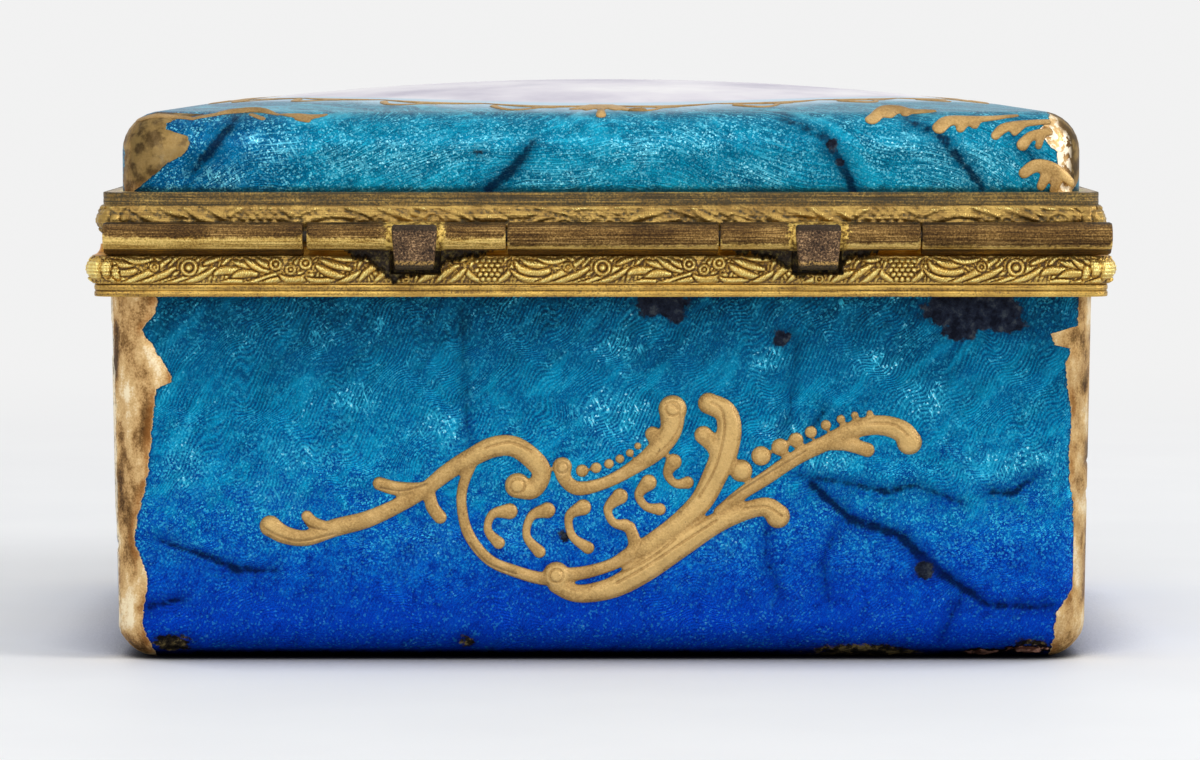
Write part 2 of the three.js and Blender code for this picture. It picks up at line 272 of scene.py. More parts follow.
class Look(Nodes):
    def __init__(self, name):
        self.material = bpy.data.materials.new(name)
        super().__init__(self.material)
        place = self.add("TexCoord").outputs["Object"]
        self.place = self.vector("SCALE", place, scale=1000)      # object places in mm
        parts = self.add("SeparateXYZ", {"Vector": self.place})
        self.x, self.y, self.z = [Value(self, part) for part in parts.outputs]

    def sine(self, a):
        return self.math("SINE", a)

    def vector(self, operation, a, b=(0, 0, 0), scale=1.0):
        return self.add("VectorMath", {0: a, 1: b, 3: scale}, operation=operation).outputs["Vector"]

    def stretch(self, factors):
        return self.vector("MULTIPLY", self.place, factors)

    def plane(self, across, along):
        return self.add("CombineXYZ", {"X": across, "Y": along}).outputs[0]

    def noise(self, size, detail=2.0, place=None, rough=0.5):
        # size in mm of the largest lumps
        made = self.add("TexNoise", {"Vector": place or self.place, "Scale": 1 / size,
                                     "Detail": detail, "Roughness": rough})
        return Value(self, made.outputs[0])

    def cells(self, size, place=None):
        # one even random value for each cell of about this size in mm
        made = self.add("TexVoronoi", {"Vector": place or self.place, "Scale": 1 / size})
        return Value(self, self.add("SeparateColor", {"Color": made.outputs["Color"]}).outputs[0])

    def fade(self, value, low, high, start=0.0, end=1.0):
        inputs = {"Value": value, "From Min": low, "From Max": high, "To Min": start, "To Max": end}
        return Value(self, self.add("MapRange", inputs, interpolation_type="SMOOTHSTEP").outputs[0])

    def ramp(self, value, stops):
        # stops: place, then red, green and blue from 0 to 255
        made = self.add("ValToRGB", {"Fac": value})
        line = made.color_ramp
        while len(line.elements) < len(stops):
            line.elements.new(0.5)
        for element, (at, *shade) in zip(line.elements, sorted(stops)):
            element.position = at
            element.color = colour(*shade)
        return made.outputs["Color"]

    def blend(self, factor, a, b):
        made = self.add("Mix", data_type="RGBA")
        for key, value in ((0, factor), (6, a), (7, b)):
            self.give(made.inputs[key], value)
        return made.outputs[2]

    def attribute(self, name):
        return Value(self, self.add("Attribute", attribute_name=name).outputs["Fac"])

    def bump(self, height, depth):
        # depth in mm for a height of 1
        return self.add("Bump", {"Height": height, "Distance": depth * mm, "Strength": 1.0}).outputs["Normal"]

    def surface(self, inputs):
        shader = self.add("BsdfPrincipled", inputs)
        self.add("OutputMaterial", {"Surface": shader.outputs[0]})
        return self.material


# Camera, floor and light

camera = {
    "planeY": 39.0,        # the hinge side's plane, mm
    "distance": 480.0,     # from that plane
    "frameWide": 120.0,    # what the frame takes in there
    "aimX": 0.1,
    "aimZ": 28.5,
    "lookDown": 4.0,       # degrees
    "sensor": 36.0,
}


def cameraPlace():
    down = math.radians(camera["lookDown"])
    aim = Vector((camera["aimX"], camera["planeY"], camera["aimZ"]))
    return aim + Vector((0, math.cos(down), math.sin(down))) * camera["distance"], aim


def makeCamera():
    place, aim = cameraPlace()
    bpy.ops.object.camera_add(location=place * mm)
    made = bpy.context.object
    made.rotation_mode = "QUATERNION"
    made.rotation_quaternion = (aim - place).to_track_quat("-Z", "Y")
    made.data.sensor_width = camera["sensor"]
    made.data.lens = camera["sensor"] * camera["distance"] / camera["frameWide"]
    made.data.clip_start = 0.01
    made.data.clip_end = 20
    bpy.context.scene.camera = made


studio = {
    "sky": 0.6,               # how much plain light comes from all round
    "white": 0.885,            # the background's brightness
    "floorShade": (0.9, 0.9, 0.905, 1),
    "floorDark": (0.8, 0.8, 0.82, 1),
    "paintedContactShadow": (0.004, 0.004, 0.01, 1),
    "skyShade": (0.96, 0.98, 1, 1),
    "floorSize": 6.0,
    "floorDrop": -0.00003,     # metres, so that it doesn't lie in the box's own underside
    "contact": 0.02,           # metres over which the floor darkens towards what stands on it
    "floorFadeStart": 0.05,    # metres from the box, where the floor starts to become background
    "floorFadeEnd": 0.42,
    "lampAim": (0, 0, 0.03),
    "lamps": [                 # name, place, size, watts
        ("keyLamp", (-0.9, 0.3, 0.5), 0.35, 4.6),
        ("frontLamp", (0.15, 1.1, 0.75), 0.9, 5.0),
        ("topLamp", (-0.1, 0.0, 1.0), 0.5, 1.3),
    ],
}


def makeStage():
    bpy.ops.mesh.primitive_plane_add(size=studio["floorSize"], location=(0, 0, studio["floorDrop"]))
    floor = settle(bpy.context.object)
    floor.name = "floor"
    look = Look("floor")
    away = look.add("VectorMath", {0: look.place}, operation="LENGTH").outputs["Value"]
    far = look.fade(away, studio["floorFadeStart"] / mm, studio["floorFadeEnd"] / mm)
    cloudy = look.fade(look.noise(30, 3), 0.3, 0.7, 0, 0.25)
    shade = look.blend(cloudy, studio["floorShade"], studio["floorDark"])
    # painted contact shadow: the floor's colour darkens by ambient occlusion close to what stands on it
    near = look.add("AmbientOcclusion", {"Color": shade, "Distance": studio["contact"]}, samples=8)
    shade = look.blend(look.fade(near.outputs["AO"], 0.75, 0.3), shade, studio["paintedContactShadow"])
    paper = look.add("BsdfPrincipled", {"Base Color": shade, "Roughness": 0.6, "Specular IOR Level": 0.2})
    white = (studio["white"],) * 3 + (1,)
    glow = look.add("Emission", {"Color": white, "Strength": 1.0})
    mix = look.add("MixShader", {0: far * look.seen(), 1: paper.outputs[0], 2: glow.outputs[0]})
    look.add("OutputMaterial", {"Surface": mix.outputs[0]})
    floor.data.materials.append(look.material)

    for name, place, size, watts in studio["lamps"]:
        bpy.ops.object.light_add(type="AREA", location=place)
        lamp = bpy.context.object
        lamp.name = name
        lamp.data.shape = "DISK"
        lamp.data.size = size
        lamp.data.energy = watts
        lamp.rotation_mode = "QUATERNION"
        lamp.rotation_quaternion = (Vector(studio["lampAim"]) - Vector(place)).to_track_quat("-Z", "Y")

    world = bpy.data.worlds.new("studio")
    bpy.context.scene.world = world
    sky = Nodes(world)
    plain = sky.add("Background", {"Color": studio["skyShade"], "Strength": studio["sky"]})
    backdrop = sky.add("Background", {"Color": white})
    mix = sky.add("MixShader", {0: sky.seen(), 1: plain.outputs[0], 2: backdrop.outputs[0]})
    sky.add("OutputWorld", {0: mix.outputs[0]})
    bpy.context.scene.view_settings.view_transform = "Standard"
    print("camera, floor and lamps set")


enamel = {
    # colours from the foot to the mount; the last stops darken into painted shade under the mount
    "deep": [(0.0, 1, 66, 208), (0.08, 1, 54, 176), (0.2, 1, 54, 164), (0.38, 2, 74, 166),
             (0.5, 3, 90, 152), (0.66, 2, 92, 142), (0.86, 2, 68, 112), (0.98, 2, 40, 68)],
    "bright": [(0.0, 4, 78, 204), (0.18, 5, 92, 206), (0.3, 8, 124, 214),
               (0.48, 14, 168, 216), (0.75, 10, 150, 190), (1.0, 6, 94, 132)],
    "dark": [(0.0, 0, 18, 100), (0.4, 0, 36, 122), (0.7, 0, 56, 96), (1.0, 0, 28, 50)],
    "lidDeep": colour(2, 110, 142),
    "lidBright": colour(26, 168, 200),
    "lidDark": colour(0, 66, 96),
    "lidLeft": colour(0, 62, 116),
    # painted glint colours for the foil's sparkle
    "glint": colour(60, 190, 222),
    "lidGlint": colour(118, 216, 236),
    "lineGap": 0.37,           # mm between two lines of the tooling
    "waveLong": 5.5,           # mm from one bend of a line to the next
    "waveWide": 0.4,
    "wander": 5.0,
    "cloudSize": 8.0,
    "facet": 0.17,             # mm across one facet of the crinkled foil
    "grain": 0.17,
}


def turnedPlace(look, angle, squeeze):
    # a wall's own plane turned so that streaks rise to the right at this angle, seen from outside the back
    side = look.x + look.y
    c, s = math.cos(math.radians(angle)), math.sin(math.radians(angle))
    across = side * s + look.z * c
    along = side * -c + look.z * s
    return across, along, look.plane(across, along * squeeze)


def toolingLines(look):
    # fine wavy lines that rise to the right, drawn into the foil
    across, along, spot = turnedPlace(look, 48, 0.28)
    drift = look.noise(7, 0.8)
    turn = along * (2 * math.pi / enamel["waveLong"]) + drift * 16
    wave = look.sine(turn) * enamel["waveWide"]
    place = across + wave + drift * enamel["wander"]
    beat = look.sine(place * (2 * math.pi / enamel["lineGap"]))
    return beat * 0.5 + 0.5, spot


def lidStrokes(look):
    # long fine strokes that rise to the right on the left and fall on the right
    side = look.x + look.y - 36
    slant = side * side * 0.006 + look.z * 0.9 + look.noise(13, 1) * 7.0
    slide = look.z * 0.43 + side * -0.9
    fine = look.plane(slant * 6.5, slide * 0.4)
    return look.fade(look.noise(1.0, 2, place=fine), 0.46, 0.64), look.plane(slant, slide * 0.3)


def giltShade(look, darker=0.0):
    # crumpled gilding with a fine grain: painted highlights on its swells and painted shade in its hollows
    swell = look.noise(2.6, 3, place=look.stretch((1, 1, 0.55)))
    fine = look.noise(0.2, 3, rough=0.7)
    small = look.noise(0.8, 2)
    tone = swell * 0.75 + fine * 0.2 + small * 0.1 - darker
    shade = look.ramp(tone, [(0.4, 80, 54, 28), (0.47, 146, 110, 66), (0.515, 196, 156, 102),
                             (0.58, 224, 188, 132), (0.66, 254, 236, 198)])
    return shade, swell


def enamelLook(name, lid=False):
    look = Look(name)
    height = (look.z - (40 if lid else 0)) / (18 if lid else 37)
    clouds = look.noise(enamel["cloudSize"], 3, place=look.stretch((0.8, 0.8, 1)))
    mottle = look.noise(1.3, 4, rough=0.62)
    level = (mottle - 0.5) * 0.42 + height
    level = look.math("MULTIPLY_ADD", clouds - 0.5, 0.2, level, clamp=True)
    lines, streaks = lidStrokes(look) if lid else toolingLines(look)
    steep = turnedPlace(look, 112, 0.2)[2]
    grain = look.noise(enamel["grain"], 2, rough=0.7)
    facet = look.cells(enamel["facet"])
    speck = look.cells(enamel["facet"] * (0.85 if lid else 1.1), look.vector("ADD", look.place, (7, 3, 5)))
    # low on the body the foil is calm
    low = look.fade(level, 0.6, 0.4) if not lid else 0.15
    lively = 1.0 - low * 0.7
    patches = look.fade(look.noise(4.6, 2), 0.4, 0.6)
    # where the painted glints gather: scattered patches and the listed shine patches, less where the foil is calm
    scattered = look.fade(look.noise(1.5, 3, place=look.vector("ADD", streaks, (5, 9, 0))), 0.54, 0.7)
    chosen = look.noise(1.0, 2, place=streaks) * 2.8 + look.attribute("shine")
    shine = look.larger(scattered * 0.5, look.fade(chosen, 1.3, 2.7)) * lively
    if lid:
        deep = look.blend(look.fade(look.x, 24, 38) * 0.9, enamel["lidDeep"], enamel["lidLeft"])
        left = look.fade(look.x, 28, 38, 0.0, 0.6)
        bright, dark, glint = enamel["lidBright"], enamel["lidDark"], enamel["lidGlint"]
        bright = look.blend(left, bright, colour(0, 100, 170))
        # painted sheen: the bright colour turns pale cyan along the shoulder where the lid's top turns over
        bright = look.blend(look.fade(look.z, 54.0, 55.3), bright, colour(96, 214, 236))
    else:
        deep, bright, dark = [look.ramp(level, enamel[key]) for key in ("deep", "bright", "dark")]
        glint = enamel["glint"]

    shadeClouds = look.fade(look.noise(2.2, 4, place=streaks, rough=0.55), 0.34, 0.56)
    shadeClouds = look.larger(shadeClouds, low * 0.75)
    base = look.blend(shadeClouds * 0.6 + 0.4, dark, deep)
    swell = look.fade(look.noise(1.7, 2, place=look.vector("ADD", streaks, (3, 1, 0))), 0.5, 0.68)
    base = look.blend(swell * 0.5 * lively, base, bright)
    base = look.blend(look.fade(mottle, 0.52, 0.66) * 0.4 * lively, base, bright)
    base = look.blend(look.fade(mottle, 0.47, 0.36) * 0.55, base, dark)
    # the foil's fine grain
    high = look.fade(height, 0.55, 0.85, 1.0, 0.55)
    base = look.blend(look.fade(grain, 0.5, 0.7) * 0.55 * high, base, bright)
    base = look.blend(look.fade(grain, 0.5, 0.32) * 0.5 * high, base, dark)
    # painted sparkle: single facets of the foil painted bright, turning to the glint colour higher up
    paintedSparkle = look.fade(facet, 0.76 if lid else 0.68, 0.98)
    paintedSparkle = paintedSparkle * look.fade(look.noise(2.2, 3), 0.4, 0.6, 0.25, 0.75) * look.fade(height, 0.1, 0.34, 0.35, 1.0)
    if not lid:
        paintedSparkle = paintedSparkle * look.fade(height, 0.5, 0.82, 1.0, 0.3)
    base = look.blend(paintedSparkle, base, look.blend(look.fade(height, 0.18, 0.4), bright, glint))
    ridge = lines ** 1.6 * look.fade(grain, 0.34, 0.56, 0.2, 1.0)
    lineStrength = (patches * 0.36 + 0.1) * lively
    base = look.blend(ridge * lineStrength, base, bright)
    furrow = (1.0 - lines) * (lineStrength * 0.6)
    base = look.blend(furrow, base, dark)
    # painted glints: sparks on facets, dashes along the tooling lines and steep strokes, then near-white highlights
    spark = look.fade(speck, 0.84, 0.97) * (shine * 0.75 + 0.2)
    dash = ridge * shine * (0.5 if lid else 0.35)
    stroke = look.fade(look.noise(0.34, 1, place=steep), 0.6, 0.7) * shine
    if lid:
        stroke = stroke * look.fade(look.x, 20, 30)
    base = look.blend(look.larger(spark, look.larger(dash, stroke)), base, glint)
    white = look.fade(speck, 0.93, 1.0) * look.fade(grain, 0.48, 0.6) * shine
    white = look.larger(white, look.fade(stroke, 0.5, 1.0) * look.fade(grain, 0.5, 0.66))
    base = look.blend(white * 0.85, base, colour(206, 244, 250))

    ragged = look.noise(0.9, 4, rough=0.65) * 1.6 - 0.8
    if lid:
        # pale haze towards the field on top, and a dark line of painted shadow and dirt where the lid meets its
        # mount
        haze = look.attribute("haze")
        hazeEdge = haze + (look.noise(3.5, 3) * 3.0 - 1.5)
        hazed = look.fade(hazeEdge, -5.0, 0.0)
        base = look.blend(hazed, base, colour(186, 208, 222))
        clouded = [(0.3, 190, 184, 198), (0.5, 220, 215, 222), (0.7, 236, 233, 234)]
        cloudShade = look.ramp(look.noise(11, 4), clouded)
        base = look.blend(look.fade(haze, 0.8, 2.2), base, cloudShade)
        clear = 1.0 - hazed
        joint = look.fade(ragged * 0.5 + look.z, 48.0, 47.3)
        base = look.blend(joint * 0.85, base, colour(6, 34, 42))
    else:
        # painted shade: a black band along the foot, where the wall turns under
        foot = ragged * 0.35 + look.z
        base = look.blend(look.fade(foot, 1.3, 0.5), base, colour(0, 2, 12))
        clear = 1.0

    # painted shade in and round the pressed creases: a soft dark band and a darker core
    crease = look.noise(1.1, 3, rough=0.7) - 0.5 + look.attribute("crease")
    softCrease = look.fade(crease, -1.3, 0.3) * 0.6
    base = look.blend(softCrease, base, dark)
    core = look.fade(ragged * 0.4 + crease, -0.12, 0.42)
    base = look.blend(core * 0.85, base, colour(0, 10, 38))
    loss = ragged + look.attribute("loss")
    base = look.blend(look.fade(loss, -0.9, 0.1) * 0.5, base, dark)
    lossFactor = look.fade(loss, -0.14, 0.14)
    lossTone = look.noise(1.0, 4, rough=0.7)
    lossShade = look.ramp(lossTone, [(0.38, 8, 12, 24), (0.55, 26, 32, 46), (0.68, 54, 60, 66)])
    khaki = look.ramp(lossTone, [(0.42, 14, 12, 12), (0.54, 44, 38, 28), (0.62, 106, 92, 58)])
    lossShade = look.blend(look.fade(look.z, 3.4, 2.0), lossShade, khaki)
    base = look.blend(lossFactor, base, lossShade)
    if not lid:
        copper = look.attribute("copper") + ragged * 0.5
        base = look.blend(look.fade(copper, -0.22, -0.12), base, colour(16, 8, 10))
        copperShade = look.ramp(look.noise(0.8, 3), [(0.4, 96, 60, 48), (0.6, 206, 152, 130)])
        base = look.blend(look.fade(copper, -0.05, 0.08), base, copperShade)
    gilt = look.attribute("gilt") + ragged * 0.6
    giltFactor = look.fade(gilt, -0.03, 0.03)
    giltColour, giltSwell = giltShade(look, 0.035 if lid else 0.0)
    warm = look.fade(gilt, 1.1, 0.2) * look.fade(giltSwell, 0.56, 0.44)
    giltColour = look.blend(warm * 0.5, giltColour, colour(168, 108, 52))
    rim = look.fade(gilt, 0.16, 0.0) * 0.5
    giltColour = look.blend(rim, giltColour, colour(240, 212, 160))
    # painted highlight along the corner's very edge, broken by real cracks
    rub = ragged * 0.5 + look.attribute("rub")
    giltColour = look.blend(look.fade(rub, 0.3, 0.6) * 0.75, giltColour, colour(252, 240, 212))
    crack = look.fade(look.noise(0.5, 3, place=look.stretch((1.6, 1.6, 0.5)), rough=0.7), 0.55, 0.62)
    crack = crack * look.fade(look.attribute("rub"), 0.0, 0.5)
    giltColour = look.blend(crack * 0.8, giltColour, colour(70, 50, 28))
    # darkens the gilding in places: most on one lid corner and higher up, some on the body's -X side
    stain = look.attribute("stain")
    stained = look.blend(look.fade(look.noise(1.4, 3), 0.44, 0.6), colour(72, 58, 34), colour(136, 112, 66))
    giltColour = look.blend(stain * 0.85, giltColour, stained)
    # painted highlights on the crumpled gilding of the lid's corner
    crumbs = look.attribute("crumbs") * look.fade(look.noise(0.7, 3, rough=0.6), 0.47, 0.56)
    giltColour = look.blend(crumbs, giltColour, colour(252, 238, 212))
    base = look.blend(giltFactor, base, giltColour)
    edgeLine = look.fade(abs(gilt + 0.1), 0.14, 0.0)
    base = look.blend(edgeLine * 0.45, base, colour(20, 24, 30))

    bare = 1.0 - giltFactor
    foil = (lines * 0.35 + grain * 0.7) * bare * clear
    crumple = giltSwell * (giltFactor * 8.0)
    under = look.bump(foil + crumple, 0.055)
    metal = (giltFactor * -0.1 + 0.6) * (1.0 - lossFactor) * clear
    rough = grain * 0.2 + (giltFactor * 0.12 + 0.25)
    return look.surface({"Base Color": base, "Roughness": rough, "Metallic": metal, "Normal": under,
                         "Specular IOR Level": 0.03, "Coat Weight": 0.025, "Coat Roughness": 0.06,
                         "Coat Normal": look.bump(look.noise(5, 1), 0.12)})


def counterEnamelLook():
    look = Look("counterEnamel")
    specks = look.fade(look.noise(0.6, 3), 0.5, 0.62)
    clouds = look.noise(9, 3)
    base = look.ramp(clouds, [(0.35, 150, 170, 190), (0.65, 186, 200, 212)])
    base = look.blend(specks * 0.5, base, colour(232, 236, 240))
    return look.surface({"Base Color": base, "Roughness": 0.22, "Normal": look.bump(look.noise(3, 2), 0.1),
                         "Coat Weight": 0.5, "Coat Roughness": 0.08})


body = {
    "corner": 4.2, "edge": 3.8, "lean": 0.5, "wall": 1.5, "base": 1.6,
    "cuts": (225, 165, 84), "steps": (9, 8),         # parts across, deep and up; steps in corner and edge
    "innerCuts": (40, 30, 14), "innerSteps": (6, 5),
    "giltWide": {                    # how far the gilding comes in from the corner, at heights
        "plusX": [(0.6, 4.4), (3.8, 3.2), (8.5, 3.8), (12.0, 2.4), (14.3, 2.8), (17.7, 3.7), (21.6, 4.2),
                  (24.2, 4.4), (27.6, 4.9), (28.1, 6.4), (28.9, 6.3), (31.8, 4.5), (33.4, 3.4), (35.3, 4.9)],
        "minusX": [(0.7, 4.0), (4.9, 3.6), (7.2, 1.8), (11.2, 1.6), (16.4, 2.0), (19.5, 2.5), (24.8, 2.2),
                   (29.5, 2.9), (31.5, 2.4), (31.9, 4.0), (33.2, 4.3), (33.6, 1.6), (36.5, 1.5)],
    },
    # seen from behind: across to the right, up, in mm, then half width
    "creases": [
        [(19.8, 18.7, 0.25), (24.5, 18.0, 0.3), (29.0, 17.0, 0.4), (31.6, 17.8, 0.3), (36.3, 15.9, 0.25)],
        [(21.1, 17.9, 0.5), (25.1, 14.3, 0.6), (30.3, 12.5, 0.6), (32.9, 9.8, 0.65), (36.6, 7.2, 0.55),
         (39.4, 5.4, 0.4), (45.5, 5.5, 0.35)],
        [(39.4, 17.0, 0.5), (41.5, 16.9, 0.4), (44.1, 19.0, 0.25)],
        [(-44.8, 12.2, 0.3), (-40.9, 10.9, 0.4), (-36.4, 9.1, 0.5), (-32.7, 9.1, 0.2)],
        [(-45.6, 5.4, 0.35), (-42.2, 6.2, 0.25)],
        [(36.3, 6.3, 0.25), (34.3, 2.3, 0.15)],
        [(-14.0, 35.7, 0.1), (-13.5, 24.2, 0.12), (-13.1, 21.9, 0.1)],
        [(19.7, 32.1, 0.1), (19.0, 25.5, 0.12), (18.2, 22.7, 0.12)],
        [(22.5, 25.5, 0.2), (20.7, 22.3, 0.3)],
        [(16.9, 15.1, 0.15), (16.7, 10.2, 0.2), (18.1, 6.4, 0.15)],
        [(24.3, 14.5, 0.12), (22.3, 10.1, 0.2), (22.9, 6.2, 0.15)],
    ],
    # patches where the tooled foil gets more painted glints: centre and half sizes
    "shine": [(-15.5, 23.5, 2.2, 1.8), (-25.0, 26.5, 2.2, 1.4), (1.0, 25.0, 3.5, 2.2), (4.5, 22.5, 2.0, 1.5),
              (18.5, 23.3, 2.0, 1.5), (-17.0, 12.0, 2.5, 2.0), (-8.0, 12.5, 3.0, 2.2), (1.5, 31.5, 2.0, 1.0),
              (39.5, 19.5, 3.5, 1.6), (43.5, 20.6, 2.4, 1.0), (17.0, 30.4, 1.8, 1.0), (22.0, 20.3, 3.0, 1.0),
              (12.0, 13.0, 3.0, 2.5), (32.5, 26.5, 2.5, 1.8), (-33.0, 16.5, 3.0, 1.8), (-42.0, 19.5, 2.0, 2.5),
              (-2.0, 17.5, 3.0, 1.5), (27.5, 30.0, 2.2, 1.2), (-30.0, 20.5, 3.0, 1.2)],
    "copper": [(43.2, 0.9, 2.0, 0.35), (38.6, 0.6, 1.4, 0.3)],
    # centre and half sizes
    "losses": [(37.2, 35.4, 5.0, 2.0), (36.0, 33.2, 1.8, 0.9), (40.5, 34.0, 2.0, 0.9), (6.2, 36.0, 2.7, 1.2),
               (7.5, 34.9, 1.0, 0.8), (4.9, 35.3, 1.1, 0.5), (43.3, 1.6, 1.6, 0.45),
               (18.2, 32.6, 0.9, 0.8), (26.5, 0.6, 5.6, 0.9), (32.6, 9.2, 1.0, 0.9), (-43.3, 1.6, 1.9, 0.9),
               (46.0, 0.9, 3.0, 0.4), (-13.6, 1.8, 0.8, 0.5), (-3.6, 12.6, 0.7, 0.5), (-6.7, 15.1, 0.3, 0.3)],
}


def tray(low, high, corner, edge, cuts, steps, isLid):
    # an open tray with rounded walls, cut into an even grid
    piece = box(low, high)
    shut, mouth = (high.z, low.z) if isLid else (low.z, high.z)
    close = 1e-6
    edit(piece)
    pick(piece, "EDGE", lambda e: span(e, 2) > close)
    bpy.ops.mesh.bevel(offset=corner, segments=steps[0], affect="EDGES")
    pick(piece, "EDGE", lambda e: all(abs(v.co.z - shut) < close for v in e.verts))
    bpy.ops.mesh.bevel(offset=edge, segments=steps[1], affect="EDGES")
    pick(piece, "FACE", lambda f: all(abs(v.co.z - mouth) < close for v in f.verts))
    bpy.ops.mesh.delete(type="ONLY_FACE")
    if isLid:
        pick(piece, "VERT", lambda v: abs(v.co.z - shut) < close)
        bpy.ops.mesh.remove_doubles(threshold=max(corner - edge, 0.1 * mm) * 1.2)
    cutAcross(piece, 2, high.z - low.z - edge, cuts[2])
    cutAcross(piece, 0, high.x - low.x - 2 * corner, cuts[0])
    cutAcross(piece, 1, high.y - low.y - 2 * corner, cuts[1])
    if not isLid:
        pick(piece, "FACE", lambda f: all(abs(v.co.z - shut) < close for v in f.verts))
        bpy.ops.mesh.dissolve_faces()
    editDone()
    return piece


def makeShell(name, sizes, low, high, isLid):
    # an outer tray and its lining, turned inside out, joined and closed at the rim
    wall, base = sizes["wall"] * mm, sizes["base"] * mm
    corner, edge = sizes["corner"] * mm, sizes["edge"] * mm
    outer = tray(low, high, corner, edge, sizes["cuts"], sizes["steps"], isLid)
    innerLow = low + Vector((wall, wall, 0 if isLid else base))
    innerHigh = high - Vector((wall, wall, base if isLid else 0))
    inner = tray(innerLow, innerHigh, corner - wall, edge - wall, sizes["innerCuts"], sizes["innerSteps"], isLid)
    for piece, top, isLining in ((outer, high.z, False), (inner, innerHigh.z, True)):
        if isLid:
            points = readPoints(piece)
            raiseCrown(points, top - sizes["crownStart"] * mm)
            writePoints(piece, points)
        facesOut(piece, inside=isLining)
        writeValues(piece, lining=np.full(len(piece.data.vertices), isLining))
    piece = join(name, [outer, inner])
    edit(piece)
    pick(piece, "EDGE", lambda e: e.is_boundary)
    bpy.ops.mesh.bridge_edge_loops()
    editDone()
    # joining drops the faces' materials, so they are set from the points
    data = piece.data
    lining, starts = np.zeros(len(data.vertices), np.float32), np.zeros(len(data.polygons), np.int32)
    corners = np.zeros(len(data.loops), np.int32)
    data.attributes["lining"].data.foreach_get("value", lining)
    data.polygons.foreach_get("loop_start", starts)
    data.loops.foreach_get("vertex_index", corners)
    data.polygons.foreach_set("material_index", lining[corners[starts]].astype(np.int32))
    return piece


def wallPlaces(points, high):
    # each point's wall: across it to the right, seen from outside, half its length, and whether it is the back
    x, y, z = (points / mm).T
    halfX, halfY = high.x / mm, high.y / mm
    onEnd = (halfX - np.abs(x)) < (halfY - np.abs(y))
    across = np.where(onEnd, np.sign(x) * y, -np.sign(y) * x)
    return x, y, z, halfX, halfY, onEnd, across, np.where(onEnd, halfY, halfX), ~onEnd & (y > 0)


def segments(across, up, line):
    # for each part of a line with half widths: how far a point is from it, and the half width there
    for (u0, v0, w0), (u1, v1, w1) in zip(line, line[1:]):
        du, dv = u1 - u0, v1 - v0
        share = np.clip(((across - u0) * du + (up - v0) * dv) / (du * du + dv * dv + 1e-9), 0, 1)
        yield np.hypot(across - u0 - share * du, up - v0 - share * dv), w0 + (w1 - w0) * share


def lineDistance(across, up, lines):
    # how deep a point is inside the nearest of these lines, 0 and less outside
    best = np.full(across.shape, farOff)
    for line in lines:
        for away, wide in segments(across, up, line):
            best = np.maximum(best, wide - away)
    return best


def spotDistance(across, up, spots):
    best = np.full(across.shape, farOff)
    for u, v, wide, tall in spots:
        ring = np.hypot((across - u) / wide, (up - v) / tall)
        best = np.maximum(best, (1 - ring) * min(wide, tall))
    return best


def stepAt(value, pairs):
    return np.interp(value, [p[0] for p in pairs], [p[1] for p in pairs])


def makeBody():
    print("body shell")
    piece = makeShell("bodyEnamel", body, bodyLow, bodyHigh, False)
    points = readPoints(piece)
    lean = body["lean"] * mm * (1 - points[:, 2] / bodyHigh.z)
    points[:, 0] *= 1 - lean / bodyHigh.x
    points[:, 1] *= 1 - lean / bodyHigh.y
    x, y, z, halfX, halfY, onEnd, across, half, behind = wallPlaces(points, bodyHigh)
    # the other walls have the same marks in other places
    turned = np.where(behind, 0, np.where(onEnd, 5.0, 11.0))
    leftWide = stepAt((z + turned) % 37, body["giltWide"]["plusX"])
    rightWide = stepAt((z + turned * 0.6) % 37, body["giltWide"]["minusX"])
    extra = np.where(onEnd, 1.6, 0.0)
    gilt = np.maximum(leftWide + extra - (half + across), rightWide + extra - (half - across))
    crease = np.where(behind, lineDistance(across, z, body["creases"]),
                      lineDistance(-across * half / halfX * 1.25 - 6, z - 2, body["creases"]))
    loss = np.where(behind, spotDistance(across, z, body["losses"]),
                    spotDistance(-across + 9, z, body["losses"][6:12]))
    nearCorner = (np.abs(y) > halfY - 4.5) & (np.abs(y) < halfY - 2.2) & (x > 0)
    writeValues(piece, gilt=gilt, crease=crease, loss=loss,
                copper=np.where(behind, spotDistance(across, z, body["copper"]), farOff),
                shine=spotDistance(np.where(behind, across, across * 1.3 + 8), z, body["shine"]) + 0.6,
                # painted highlight along the gilt corner's very edge
                rub=nearCorner * np.clip(1 - (halfX - lean / mm - x) / 0.7, 0, 1),
                stain=np.where(x < 0, 0.35, 0))
    raised = np.clip((gilt + 0.15) / 0.3, 0, 1) * 0.09
    sunk = np.clip(crease + 0.15, 0, 0.5) * 0.35 + np.clip(loss + 0.2, 0, 0.4) * 0.3
    outside = np.maximum(np.abs(x) - halfX, np.abs(y) - halfY) + body["wall"] * 0.6 > -0.2
    push = np.where(outside & (z > 0.4), raised - sunk, 0) * mm
    # outwards, square to the wall or round its corner
    inX = np.sign(x) * np.maximum(np.abs(x) - (halfX - body["corner"]), 0)
    inY = np.sign(y) * np.maximum(np.abs(y) - (halfY - body["corner"]), 0)
    length = np.maximum(np.hypot(inX, inY), 1e-6)
    points[:, 0] += inX / length * push
    points[:, 1] += inY / length * push
    writePoints(piece, points)
    finishPiece(piece, "bodyEnamel", (enamelLook("bodyEnamel"), counterEnamelLook()), 50,
                "box", "body_enamel", "body_shell")


# Lid

